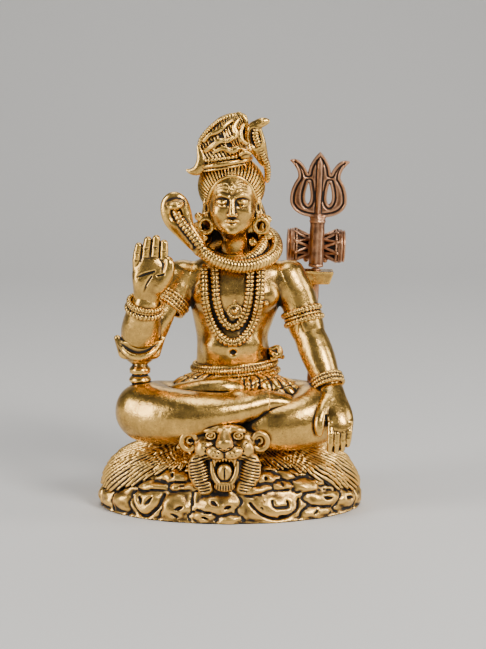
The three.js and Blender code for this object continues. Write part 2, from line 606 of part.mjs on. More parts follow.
add(gold, "right_upper_arm", cut(limb(rightUpperArm), torso(seam)));
add(gold, "left_upper_arm", cut(limb(leftUpperArm), torso(seam)));
add(gold, "right_forearm", cut(limb(rightForearm), limb(rightUpperArm, { grow: seam })));
add(gold, "left_forearm", cut(limb(leftForearm), limb(leftUpperArm, { grow: seam }), ...legs));
add(gold, "right_hand", hand(rightHand, limb(rightForearm, { grow: seam })));
add(gold, "left_hand", hand(leftHand, limb(leftForearm, { grow: seam }), ...legs, ...groundRoom));
add(gold, "right_armlet", bandOnLimb(rightUpperArm, 0.85, 1.35));
add(gold, "left_armlet", bandOnLimb(leftUpperArm, 1.75, 2.3));
add(gold, "right_bracelet", bandOnLimb(rightForearm, 2.2, 2.6));
add(gold, "left_bracelet", cut(bandOnLimb(leftForearm, 2.2, 2.65), ...legs));
add(gold, "armrest_post", cut(turned(armrestProfile, armrestPlace), legs[0]));
add(gold, "armrest_cup", cut(turned(cradleProfile, armrestPlace, { flatten: 0.8 }), cup()));

add(gold, "head", cut(head(), snakeRoom, torso(seam)));
add(gold, "hair_cap", hairCap());
add(gold, "back_hair", backHair());
add(gold, "topknot", cut(topknot(), hairMass(seam)));
add(gold, "topknot_band", cut(hairBand(), hairMass(seam), moonSeat));
add(gold, "crescent_moon", crescentMoon());
add(gold, "hair_cobra", cut(limb(hairCobraStations, { sides: 8, up: facing }), hairMass(seam), topknot(seam)));
add(gold, "right_earring", cut(earring(earringPlaces[0]), head(seam))); // a hoop open at the lobe
add(gold, "left_earring", cut(earring(earringPlaces[1]), head(seam)));
add(gold, "neck_cobra", cut(neckCobra(), torso(seam), head(seam), ...earringRoom));
add(gold, "inner_mala", mala(4.8, 32.4, 1));
add(gold, "outer_mala", mala(8, 27.8, 1.1));
add(gold, "pendant", cut(egg([1.7, chestFront(1.7, 36.4) - 0.4, 36.4, 2, 1, 1.6], { down: 6 }), torso(seam)));

add(gold, "shoulder_bracket", shoulderBracket());
add(redBrass, "trident_head", tridentHead());
add(redBrass, "trident_shaft", onShaft(shaftDiameter / 2, 0, shaftLength));
add(redBrass, "trident_tang", onShaft(rodDiameter / 2, rodEnd, -seam));
add(redBrass, "drum_body", drumBody());
add(redBrass, "drum_skin_right", drumSkin(-1));
add(redBrass, "drum_skin_left", drumSkin(1));
add(redBrass, "drum_cord", drumCord());

add(darkGold, "figure_stud", post(studDiameter / 2, nutFoot - 1, baseHeight + studReach, studPlace));
const washer = post(washerRadius, washerTop - washerThickness, washerTop, studPlace);
add(darkGold, "stud_washer", cut(washer, studBore));
add(darkGold, "stud_nut", cut(post(nutAcrossFlats / Math.sqrt(3), nutFoot, nutTop, studPlace, 6), studBore));

export default statue;
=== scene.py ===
"""A cast brass statue of a seated ascetic god, sculpted as distance fields and meshed piece by piece."""

import math

import bpy
import numpy as np
import openvdb
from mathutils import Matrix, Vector


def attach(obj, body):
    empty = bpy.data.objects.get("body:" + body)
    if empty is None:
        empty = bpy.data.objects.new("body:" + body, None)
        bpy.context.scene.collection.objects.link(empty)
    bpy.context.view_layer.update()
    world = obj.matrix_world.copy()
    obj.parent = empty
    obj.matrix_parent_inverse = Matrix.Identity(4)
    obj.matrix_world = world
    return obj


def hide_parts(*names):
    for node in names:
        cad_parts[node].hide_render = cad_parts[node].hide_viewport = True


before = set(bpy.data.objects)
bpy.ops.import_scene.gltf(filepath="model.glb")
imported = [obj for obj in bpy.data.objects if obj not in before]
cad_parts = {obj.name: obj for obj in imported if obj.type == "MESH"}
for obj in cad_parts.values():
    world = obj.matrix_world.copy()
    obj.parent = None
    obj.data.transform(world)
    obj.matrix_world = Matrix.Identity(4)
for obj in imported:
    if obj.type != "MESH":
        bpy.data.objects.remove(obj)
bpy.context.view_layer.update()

MM = 0.001
FAR = 3.0  # the distance, in mm, that empty clay starts from
SLACK = 1.6  # how far past a shape, in mm, its distances still matter
RNG = np.random.default_rng(11)
UP = (0, 0, 1)
FRONT = (0, -1, 0)


# ---- clay ----------------------------------------------------------------------------------------
def grain(step):
    return step


def vec(*values):
    return np.array(values, dtype=np.float64)


def unit(v):
    v = np.asarray(v, dtype=np.float64)
    return v / np.linalg.norm(v)


def soft_min(a, b, k):
    if k <= 0:
        return np.minimum(a, b)
    h = np.clip(0.5 + 0.5 * (b - a) / k, 0, 1)
    return b + (a - b) * h - k * h * (1 - h)


def soft_max(a, b, k):
    return -soft_min(-a, -b, k)


def smoothstep(low, high, t):
    t = np.clip((t - low) / (high - low), 0, 1)
    return t * t * (3 - 2 * t)


def spline(rows, samples):
    """Points on a smooth curve through the rows of a table, `samples` to a span."""
    rows = np.asarray(rows, dtype=np.float64)
    padded = np.vstack([2 * rows[0] - rows[1], rows, 2 * rows[-1] - rows[-2]])
    out = []
    for i in range(len(rows) - 1):
        p0, p1, p2, p3 = padded[i : i + 4]
        turn, bend = 2 * p0 - 5 * p1 + 4 * p2 - p3, 3 * p1 - p0 - 3 * p2 + p3
        for t in np.arange(samples) / samples:
            out.append(0.5 * (2 * p1 + (p2 - p0) * t + turn * t**2 + bend * t**3))
    return np.array(out + [rows[-1]])


class Shape:
    """A distance function of x, y and z in mm, and the box outside which it is of no interest."""

    def __init__(self, distance, low, high):
        self.distance, self.low, self.high = distance, np.asarray(low, float), np.asarray(high, float)


def egg(centre, radii, turn=None):
    """An ellipsoid, turned by degrees about X, Y and Z in that order."""
    c, r = vec(*centre), vec(*radii)
    m = np.eye(3)
    if turn:
        for axis, degrees in enumerate(turn):
            s, co = math.sin(math.radians(degrees)), math.cos(math.radians(degrees))
            i, j = [(1, 2), (2, 0), (0, 1)][axis]
            step = np.eye(3)
            step[i, i] = step[j, j] = co
            step[i, j], step[j, i] = -s, s
            m = step @ m
    inv = m.T

    def distance(x, y, z):
        x, y, z = x - c[0], y - c[1], z - c[2]
        if turn:
            x, y, z = (inv[i, 0] * x + inv[i, 1] * y + inv[i, 2] * z for i in range(3))
        x, y, z = x / r[0], y / r[1], z / r[2]
        q = np.sqrt(x * x + y * y + z * z) + 1e-6
        slope = np.sqrt((x / r[0]) ** 2 + (y / r[1]) ** 2 + (z / r[2]) ** 2) + 1e-6
        return q * (q - 1) / slope

    reach = max(radii) if turn else r
    return Shape(distance, c - reach, c + reach)


def bar(a, b, ra, rb, flat=1.0, up=UP):
    """A round-ended bar between two points; `flat` is its thickness along `up` as a share of its width."""
    a, b, up = vec(*a), vec(*b), vec(*up)
    ab = b - a
    length2 = max(float(ab @ ab), 1e-9)
    thick = unit(up - ab * (up @ ab) / length2) if flat != 1 else None

    def distance(x, y, z):
        px, py, pz = x - a[0], y - a[1], z - a[2]
        h = np.clip((px * ab[0] + py * ab[1] + pz * ab[2]) / length2, 0, 1)
        px, py, pz = px - h * ab[0], py - h * ab[1], pz - h * ab[2]
        d2 = px * px + py * py + pz * pz
        r = ra + (rb - ra) * h
        if flat == 1:
            return np.sqrt(d2) - r
        t = px * thick[0] + py * thick[1] + pz * thick[2]
        q = np.sqrt(np.maximum(d2 - t * t, 0) + (t / flat) ** 2)
        slope = np.sqrt(np.maximum(d2 - t * t, 0) + (t / flat**2) ** 2) / (q + 1e-6) + 1e-6
        return (q - r) / slope

    reach = max(ra, rb)
    return Shape(distance, np.minimum(a, b) - reach, np.maximum(a, b) + reach)


def tower(sections, k_end=1.0):
    """A body of level ellipses: rows of height, middle x, middle y, half width, half depth."""
    rows = spline(sections, 8)
    low = vec((rows[:, 1] - rows[:, 3]).min(), (rows[:, 2] - rows[:, 4]).min(), rows[0, 0])
    high = vec((rows[:, 1] + rows[:, 3]).max(), (rows[:, 2] + rows[:, 4]).max(), rows[-1, 0])

    def distance(x, y, z):
        cx, cy, a, b = (np.interp(z, rows[:, 0], rows[:, i]) for i in (1, 2, 3, 4))
        u, v = (x - cx) / a, (y - cy) / b
        q = np.sqrt(u * u + v * v) + 1e-6
        d = q * (q - 1) / (np.sqrt((u / a) ** 2 + (v / b) ** 2) + 1e-6)
        return soft_max(d, np.maximum(rows[0, 0] - z, z - rows[-1, 0]), k_end)

    return Shape(distance, low, high)


def half(point, normal):
    """The half of space behind a plane."""
    p, n = vec(*point), unit(normal)
    return Shape(
        lambda x, y, z: (x - p[0]) * n[0] + (y - p[1]) * n[1] + (z - p[2]) * n[2], (-99,) * 3, (199,) * 3
    )


def limb(stations, k=0.8, up=UP, samples=3):
    """The bars of a limb through rows of x, y, z, half width and, if it differs, half thickness."""
    table = spline([s if len(s) == 5 else (*s, s[3]) for s in stations], samples)
    bars = []
    for p, q in zip(table[:-1], table[1:]):
        flat = (p[4] + q[4]) / (p[3] + q[3])
        bars.append((bar(p[:3], q[:3], p[3], q[3], 1.0 if abs(flat - 1) < 0.02 else flat, up), k))
    return bars


class Clay:
    """A block of space on a grid that holds the distance to a shape in mm, negative inside."""

    def __init__(self, low, high, step):
        self.step = step
        self.low = np.asarray(low, float)
        count = np.ceil((np.asarray(high, float) - self.low) / step).astype(int) + 1
        self.axes = [(self.low[i] + step * np.arange(count[i])).astype(np.float32) for i in range(3)]
        self.d = np.full(count, FAR, dtype=np.float32)

    def window(self, low, high):
        cuts = []
        for i in range(3):
            n = self.d.shape[i]
            a = int(np.clip(math.floor((low[i] - self.low[i]) / self.step), 0, n))
            b = int(np.clip(math.ceil((high[i] - self.low[i]) / self.step) + 1, 0, n))
            cuts.append(slice(a, b))
        x = self.axes[0][cuts[0]][:, None, None]
        y = self.axes[1][cuts[1]][None, :, None]
        z = self.axes[2][cuts[2]][None, None, :]
        return tuple(cuts), x, y, z

    def _mix(self, shape, k, how, pad=SLACK):
        cuts, x, y, z = self.window(shape.low - pad - k, shape.high + pad + k)
        block = self.d[cuts]
        if block.size:
            self.d[cuts] = how(block, shape.distance(x, y, z).astype(np.float32), k)
        return self

    def add(self, *shapes, k=0.0):
        for shape in shapes:
            self._mix(shape, k, soft_min)
        return self

    def cut(self, *shapes, k=0.0):
        for shape in shapes:
            self._mix(shape, k, lambda a, b, kk: soft_max(a, -b, kk))
        return self

    def keep(self, *shapes, k=0.0):
        for shape in shapes:
            whole = Shape(shape.distance, self.low, self.low + self.step * np.array(self.d.shape))
            self._mix(whole, k, soft_max)
        return self

    def sculpt(self, steps):
        """Adds a list of (shape, blend) pairs."""
        for shape, k in steps:
            self.add(shape, k=k)
        return self

    def press(self, low, high, depth):
        """Moves the surface in by depth(x, y, z) mm inside a box."""
        cuts, x, y, z = self.window(low, high)
        self.d[cuts] += depth(x, y, z).astype(np.float32)
        return self

    def press_all(self, depth):
        return self.press(self.low, self.low + self.step * np.array(self.d.shape), depth)

    def lay(self, route, relief=None, k=0.15, up=FRONT, samples=5, flat=1.0, cut=False):
        """Lays a rope along rows of x, y, z, radius. relief(along, face, side, total) raises its surface."""
        rows = spline(route, samples)
        low = (rows[:, :3] - rows[:, 3:4]).min(0) - SLACK
        high = (rows[:, :3] + rows[:, 3:4]).max(0) + SLACK
        cuts, x, y, z = self.window(low, high)
        shape = self.d[cuts].shape
        if 0 in shape:
            return self
        best = np.full(shape, FAR, np.float32)
        along, face, side = (np.zeros(shape, np.float32) for _ in range(3))
        origin = vec(x.flat[0], y.flat[0], z.flat[0])
        place = 0.0
        for p, q in zip(rows[:-1], rows[1:]):
            a, ab = p[:3], q[:3] - p[:3]
            length = float(np.linalg.norm(ab))
            if length < 1e-6:
                continue
            reach = max(p[3], q[3]) + SLACK
            i0 = np.clip(np.floor((np.minimum(a, q[:3]) - reach - origin) / self.step), 0, shape).astype(int)
            i1 = np.clip(
                np.ceil((np.maximum(a, q[:3]) + reach - origin) / self.step) + 1, 0, shape
            ).astype(int)
            sub = tuple(slice(i, j) for i, j in zip(i0, i1))
            if best[sub].size == 0:
                place += length
                continue
            px, py, pz = x[sub[0]] - a[0], y[:, sub[1]] - a[1], z[:, :, sub[2]] - a[2]
            h = np.clip((px * ab[0] + py * ab[1] + pz * ab[2]) / length**2, 0, 1)
            px, py, pz = px - h * ab[0], py - h * ab[1], pz - h * ab[2]
            tangent = ab / length
            u = vec(*up)
            u = unit(u - tangent * (u @ tangent))
            w = np.cross(tangent, u)
            f = px * u[0] + py * u[1] + pz * u[2]
            s = px * w[0] + py * w[1] + pz * w[2]
            r = p[3] + (q[3] - p[3]) * h
            d = np.sqrt(
                s * s + (f / flat) ** 2 + np.maximum(px * px + py * py + pz * pz - f * f - s * s, 0)
            ) - r
            nearer = d < best[sub]
            best[sub] = np.where(nearer, d, best[sub])
            along[sub] = np.where(nearer, place + h * length, along[sub])
            face[sub] = np.where(nearer, f / r, face[sub])
            side[sub] = np.where(nearer, s / r, side[sub])
            place += length
        if relief is not None:
            best = best - relief(along, face, side, place).astype(np.float32)
        how = (lambda a, b: soft_max(a, -b, k)) if cut else (lambda a, b: soft_min(a, b, k))
        self.d[cuts] = how(self.d[cuts], best)
        return self


def blur(field, cells):
    """A moving average over 2 * cells + 1 samples, taken twice along each axis."""
    out = field.astype(np.float32)
    for axis in range(3):
        for _ in range(2):
            moved = np.moveaxis(out, axis, 0)
            padded = np.concatenate([moved[:1].repeat(cells + 1, 0), moved, moved[-1:].repeat(cells, 0)])
            total = np.cumsum(padded, axis=0, dtype=np.float64)
            window = 2 * cells + 1
            out = np.moveaxis(((total[window:] - total[:-window]) / window).astype(np.float32), 0, axis)
    return out


def between(table, i, j):
    """A flat table's values at places between its points, held at its edges."""
    i = np.clip(i, 0, table.shape[0] - 1.001)
    j = np.clip(j, 0, table.shape[1] - 1.001)
    a, b = i.astype(int), j.astype(int)
    f, g = i - a, j - b
    low = table[a, b] * (1 - f) + table[a + 1, b] * f
    high = table[a, b + 1] * (1 - f) + table[a + 1, b + 1] * f
    return low * (1 - g) + high * g


def outline_distance(edges, u, v):
    """Distances in a plane to closed outlines, negative inside.

    An edge is its start, its end and whether it is a surface. An edge on a turning axis isn't one.
    """
    near, inside = np.full(u.shape, np.inf), np.zeros(u.shape, bool)
    for (a, b), (c, d), is_surface in edges:
        t = np.clip(((u - a) * (c - a) + (v - b) * (d - b)) / ((c - a) ** 2 + (d - b) ** 2 + 1e-12), 0, 1)
        if is_surface:
            near = np.minimum(near, np.hypot(u - a - t * (c - a), v - b - t * (d - b)))
        crosses = (b > v) != (d > v)
        inside ^= crosses & (u < (c - a) * (v - b) / (d - b if d != b else 1e-9) + a)
    return np.where(inside, -near, near)


def sample(field, low, step, points):
    """The field's values at points, between its grid points."""
    g = (points - low) / step
    g = np.clip(g, 0, np.array(field.shape) - 1.001)
    i = g.astype(int)
    f = g - i
    out = 0
    for corner in range(8):
        o = np.array([(corner >> 2) & 1, (corner >> 1) & 1, corner & 1])
        weight = np.prod(np.where(o, f, 1 - f), axis=1)
        j = i + o
        out = out + weight * field[j[:, 0], j[:, 1], j[:, 2]]
    return out


def front_of(clay, x, z):
    """How far forward a block's surface comes at a place seen from the front."""
    i = int(np.clip(round((x - clay.low[0]) / clay.step), 0, clay.d.shape[0] - 1))
    j = int(np.clip(round((z - clay.low[2]) / clay.step), 0, clay.d.shape[2] - 1))
    column = clay.d[i, :, j]
    inside = np.nonzero(column < 0)[0]
    if len(inside) == 0:
        return 0.0
    first = inside[0]
    if first == 0:
        return float(clay.low[1])
    a, b = column[first - 1], column[first]
    return float(clay.low[1] + clay.step * (first - 1 + a / (a - b)))


def largest_island(points, quads):
    """The faces of the largest connected body."""
    label = np.arange(len(points))
    edges = np.vstack([quads[:, [0, 1]], quads[:, [1, 2]], quads[:, [2, 3]]])
    while True:
        low = np.minimum(label[edges[:, 0]], label[edges[:, 1]])
        before = label.copy()
        np.minimum.at(label, edges[:, 0], low)
        np.minimum.at(label, edges[:, 1], low)
        label = label[label]
        if np.array_equal(label, before):
            break
    names, counts = np.unique(label[quads[:, 0]], return_counts=True)
    quads = quads[label[quads[:, 0]] == names[counts.argmax()]]
    used, inverse = np.unique(quads, return_inverse=True)
    return points[used], inverse.reshape(quads.shape)


RELIEF_SHARES = ((0.2, 9.0), (0.4, 4.0), (0.9, -0.9))  # each reach in mm, and how much it counts
RIM = 0.5  # the distance held along a block's sides, so that its mesh closes there
PIECES = []  # body, object and clay of each piece, for the painted shade that they share


def cast(name, clay, material, nodes, body="statue", place=None, solid=None):
    """Meshes a clay block as a Blender object that replaces CAD nodes.

    `place` takes its points to the statue. `solid` is the block before it was hollowed, for the relief.
    """
    d = clay.d
    for axis in range(3):
        edge = np.moveaxis(d, axis, 0)
        edge[0] = np.maximum(edge[0], RIM)
        edge[-1] = np.maximum(edge[-1], RIM)
    grid = openvdb.FloatGrid()
    grid.background = FAR
    grid.copyFromArray(d)
    points, quads = grid.convertToQuads()
    points = points.astype(np.float64) * clay.step + clay.low
    quads = quads.astype(np.int64)
    points, quads = largest_island(points, quads)
    a, b, c, e = (points[quads[:, i]] for i in range(4))
    if sum((a * np.cross(p, q)).sum() for p, q in ((b, c), (c, e))) < 0:  # the volume, if the faces look out
        quads = quads[:, ::-1]
    mesh = bpy.data.meshes.new(name)
    mesh.vertices.add(len(points))
    placed = place(points) if place else points
    mesh.vertices.foreach_set("co", (placed * MM).ravel())
    mesh.loops.add(quads.size)
    mesh.loops.foreach_set("vertex_index", quads.ravel())
    mesh.polygons.add(len(quads))
    mesh.polygons.foreach_set("loop_start", np.arange(0, quads.size, 4))
    mesh.update(calc_edges=True)
    mesh.polygons.foreach_set("use_smooth", np.ones(len(quads), bool))
    # Ridges are high and creases low, by the average of the distance round a point of the surface.
    relief, solid = 0, d if solid is None else solid
    for reach, share in RELIEF_SHARES:
        soft = blur(np.clip(solid, -1.3 * reach - 0.3, 1.3 * reach + 0.3), max(1, round(reach / clay.step)))
        relief = relief + share * sample(soft, clay.low, clay.step, points)
    made = mesh.attributes.new("relief", "FLOAT", "POINT")
    made.data.foreach_set("value", relief.astype(np.float32))
    mesh.materials.append(material)
    piece = bpy.data.objects.new(name, mesh)
    bpy.context.collection.objects.link(piece)
    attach(piece, body)
    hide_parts(*nodes)
    PIECES.append((body, piece, d, clay.low, clay.step, points))
    return piece


# ---- materials -----------------------------------------------------------------------------------
RELIEF_GAIN = 0.42  # how much a piece's own ridges and creases count
DIRT_ROUGHNESS = 0.62


# The last argument moves every stop of the colour ramp up, so that more of the surface goes dark, in the patina
# and the painted shade alike.
def brass(name, bright, mid, dark, rough, patina_and_painted_shade_shift):
    """Antiqued brass: polished on its ridges and black in its creases, by the piece's own relief, and darkened
    further by painted shade from the shared attribute in broad hollows and where pieces meet.
    """
    material = bpy.data.materials.new(name)
    material.use_nodes = True
    tree = material.node_tree
    tree.nodes.clear()
    new = tree.nodes.new
    link = tree.links.new

    def math_node(operation, a, b=None, c=None):
        node = new("ShaderNodeMath")
        node.operation = operation
        for i, value in enumerate((a, b, c)):
            if value is None:
                continue
            if isinstance(value, (int, float)):
                node.inputs[i].default_value = value
            else:
                link(value, node.inputs[i])
        return node.outputs[0]

    def noise(scale, detail, roughness=0.6):
        node = new("ShaderNodeTexNoise")
        node.inputs["Scale"].default_value = scale
        node.inputs["Detail"].default_value = detail
        node.inputs["Roughness"].default_value = roughness
        link(place, node.inputs["Vector"])
        return node.outputs["Fac"]

    def swing(value, spread):
        """A noise from 0 to 1, scaled to swing about 0."""
        return math_node("MULTIPLY_ADD", value, spread, -spread / 2)

    def ramp(value, stops):
        node = new("ShaderNodeValToRGB")
        elements = node.color_ramp.elements
        while len(elements) < len(stops):
            elements.new(0.5)
        for element, (at, colour) in zip(elements, stops):
            element.position = at
            element.color = (*colour, 1)
        link(value, node.inputs[0])
        return node.outputs[0]

    place = new("ShaderNodeTexCoord").outputs["Object"]
    relief = new("ShaderNodeAttribute")
    relief.attribute_name = "relief"
    # the shared attribute of painted shade: darker in hollows and where pieces meet, a little lighter on open
    # places
    shade = new("ShaderNodeAttribute")
    shade.attribute_name = "painted_shade_and_light"
    blotch = noise(260, 4)
    grime = noise(1100, 5, 0.7)
    # height: 0 in the deepest crease, 0.5 on a flat, 1 on a ridge; the shared attribute adds painted shade in
    # hollows and where pieces meet, and a little painted light on open places
    height = math_node("MULTIPLY_ADD", relief.outputs["Fac"], RELIEF_GAIN, 0.5)
    for part in (shade.outputs["Fac"], swing(noise(110, 3), 0.34), swing(blotch, 0.26), swing(grime, 0.34)):
        height = math_node("ADD", height, part)
    pits = math_node("MAXIMUM", math_node("MULTIPLY_ADD", noise(1900, 3, 0.7), 5.0, -3.1), 0.0)
    height = math_node("SUBTRACT", height, math_node("MULTIPLY", math_node("MINIMUM", pits, 1.0), 0.45))
    worn = tuple(min(1, c * 1.12) for c in bright)
    colour = ramp(height, [(0.2 + patina_and_painted_shade_shift, dark), (0.42 + patina_and_painted_shade_shift, mid), (0.68 + patina_and_painted_shade_shift, bright), (1.0, worn)])
    # this mask follows height, so painted shade as well as patina lowers the metallic and raises the roughness
    clean_and_unshaded = ramp(height, [(0.16 + patina_and_painted_shade_shift, (0, 0, 0)), (0.36 + patina_and_painted_shade_shift, (1, 1, 1))])
    shader = new("ShaderNodeBsdfPrincipled")
    link(colour, shader.inputs["Base Color"])
    link(math_node("MULTIPLY_ADD", clean_and_unshaded, 0.7, 0.3), shader.inputs["Metallic"])
    roughness = math_node("MULTIPLY_ADD", clean_and_unshaded, -(DIRT_ROUGHNESS - rough), DIRT_ROUGHNESS)
    roughness = math_node("ADD", roughness, swing(blotch, 0.24))
    link(roughness, shader.inputs["Roughness"])
    bump = new("ShaderNodeBump")
    bump.inputs["Strength"].default_value = 0.45
    bump.inputs["Distance"].default_value = 0.16 * MM
    uneven = math_node("ADD", noise(700, 3), math_node("MULTIPLY", noise(2600, 2), 0.35))
    uneven = math_node("ADD", uneven, math_node("MULTIPLY", noise(240, 2), 2.2))
    link(uneven, bump.inputs["Height"])
    link(bump.outputs[0], shader.inputs["Normal"])
    out = new("ShaderNodeOutputMaterial")
    link(shader.outputs[0], out.inputs[0])
    return material


GOLD = brass("gold_finish", (0.91, 0.55, 0.135), (0.36, 0.205, 0.06), (0.008, 0.006, 0.004), 0.26, 0.0)
MOUND = brass("mound_finish", (0.86, 0.52, 0.14), (0.31, 0.17, 0.05), (0.008, 0.006, 0.005), 0.33, 0.05)
RED = brass("red_finish", (0.58, 0.31, 0.17), (0.24, 0.11, 0.055), (0.010, 0.007, 0.005), 0.38, 0.08)
STUD = brass("stud_finish", (0.62, 0.44, 0.20), (0.40, 0.25, 0.09), (0.03, 0.022, 0.015), 0.42, -0.1)
WIDE_PAINTED_SHADE = 0.56  # how much painted shade darkens the broad hollows, for each mm
TIGHT_PAINTED_SHADE = 2.4  # and the painted shade in the creases where pieces meet
WIDE_OPEN, TIGHT_OPEN = 0.35, 0.06  # how far each average may fall below 0 before painted shade darkens it
DARKEST_PAINTED_SHADE, BRIGHTEST_PAINTED_LIGHT = 0.5, 0.04  # the most painted shade that a hollow takes away, and the painted light that an open place adds


# ---- the body's shared skin ----------------------------------------------------------------------
# The torso, arms and neck are one skin, cut apart where the castings meet. Each piece sculpts the steps that
# reach its own block, so its neighbours' surfaces run on into it with no step.
TORSO = [
    (39.5, 1.4, 3.7, 11.6, 8.1), (43, 1.2, 3.6, 11.2, 7.9), (49, 0.6, 3.6, 10.5, 7.2),
    (54, 0.9, 3.4, 11.6, 7.8), (60, 1.5, 3.2, 13.4, 8.6), (65, 1.7, 3.2, 14.6, 8.6),
    (69, 1.8, 3.4, 14.0, 7.8), (72, 1.8, 3.2, 11.4, 6.2), (75, 1.8, 3.0, 7.2, 5.0),
]
RIGHT_UPPER_ARM = [
    (-13.6, 3, 66.2, 5.0), (-17.4, 0.8, 61, 4.6), (-21.2, -2, 55.4, 4.3), (-24.6, -4.4, 50.4, 4.3)
]
LEFT_UPPER_ARM = [(17.2, 3.2, 66.2, 5.1), (19.8, 2.4, 61.4, 4.5), (21.4, 1.2, 55.6, 4.4), (23, 0, 51.2, 4.4)]
RIGHT_FOREARM = [(-25.9, -6, 50, 4.7), (-25.8, -7.6, 53, 5.3), (-25, -9.4, 58, 4.5), (-24.2, -10.9, 62, 3.4)]
LEFT_FOREARM = [(23.2, -0.4, 50.6, 4.5), (25.6, -3.6, 45, 4.5), (27.6, -6.4, 40, 3.7), (29.1, -9, 35.8, 3.0)]
NECK = [(1.9, 2.6, 72, 4.2), (1.5, 2, 78, 3.7), (1, 1, 84, 3.8)]

SKIN = (
    [(tower(TORSO), 0)]
    # The chest comes next, then the belly, the shoulder blades and the tops of the shoulders.
    + [(egg((x, -2.6, 62.5), (6.0, 3.2, 4.2), (0, 0, turn)), 1.8) for x, turn in ((-4.7, -8), (8.3, 8))]
    + [(egg((0.8, -1.6, 47.5), (8.6, 4.2, 5.6)), 2.6)]
    + [(egg((x, 8.4, 64), (5, 3.4, 6), (0, turn, 0)), 2.4) for x, turn in ((-6.2, 12), (9.6, -12))]
    + [(egg((x, y, 68.3), (6.2, 4.6, 3.4), (0, t, 0)), 2.4) for x, y, t in ((-11.8, 3.2, 20), (15.2, 3.4, -20))]
    + limb(RIGHT_UPPER_ARM, 2.0)
    + limb(LEFT_UPPER_ARM, 2.0)
    + limb(NECK, 1.8)
)


def skin(low, high, step=0.3):
    return Clay(low, high, step).sculpt(SKIN)


def torso():
    clay = skin((-15, -9, 38), (20, 16, 77))
    clay.cut(egg((0.9, -6.2, 46.2), (1.1, 1.6, 0.9)), k=0.7)  # the navel
    clay.add(egg((-6.9, -5.3, 60.6), (0.85, 0.8, 0.75)), egg((10.4, -5.3, 60.6), (0.85, 0.8, 0.75)), k=0.5)
    clay.lay([(-9.6, -4.2, 60.2, 0.3), (-6.6, -6.0, 58.6, 0.34), (-3.2, -6.3, 58.7, 0.25)], cut=True, k=0.8)
    clay.lay([(13.0, -4.2, 60.2, 0.3), (10.2, -6.0, 58.6, 0.34), (6.6, -6.3, 58.7, 0.25)], cut=True, k=0.8)
    clay.lay([(1.8, 12.6, 70, 0.5), (1.2, 12.0, 58, 0.7), (1.0, 11.2, 46, 0.6)], cut=True, k=1.2)  # the spine
    clay.keep(
        half((-13.4, 3, 66), (-1, -0.1, 0.42)), half((17, 3, 66), (1, -0.1, 0.42)), half((0, 0, 74.4), UP)
    )
    cast("torso_skin", clay, GOLD, ["torso"])


def upper_arms():
    for side, joint, inward, low, high in (
        ("right", -12.9, 1, (-31, -11, 45), (-9, 11, 74)),
        ("left", 16.5, -1, (11, -7, 45), (30, 11, 74)),
    ):
        clay = skin(low, high, 0.28).keep(half((joint, 3, 66), (inward, 0.1, -0.42)))
        cast(f"{side}_arm_upper", clay, GOLD, [f"{side}_upper_arm"])


def forearms():
    clay = Clay((-33, -17, 43), (-17, 1, 67), 0.26).sculpt(limb(RIGHT_FOREARM, 1.2))
    cast("right_arm_lower", clay, GOLD, ["right_forearm"])
    clay = Clay((16, -15, 31), (36, 7, 57), 0.26).sculpt(
        limb(LEFT_FOREARM, 1.2) + limb(LEFT_UPPER_ARM[2:], 1.0)
    )
    clay.keep(half((22, 0, 54), (0.0, 0.2, 1)))
    cast("left_arm_lower", clay, GOLD, ["left_forearm"])


# ---- hands and feet ------------------------------------------------------------------------------
def finger(clay, joints, radius, up, taper=0.8, crease=0.22):
    """Three bones with a crease across the finger at each joint."""
    rows = [(*p, radius * (1 - (1 - taper) * i / (len(joints) - 1))) for i, p in enumerate(joints)]
    for p, q in zip(rows[:-1], rows[1:]):
        clay.add(bar(p[:3], q[:3], p[3], q[3], 0.95, up), k=0.12)
    for p in rows[1:-1] if crease else []:
        n = unit(vec(*up))
        centre = vec(*p[:3]) + n * p[3] * 0.95
        across = unit(np.cross(vec(*rows[-1][:3]) - vec(*rows[0][:3]), n))
        clay.cut(bar(centre - across * p[3], centre + across * p[3], crease, crease), k=0.15)


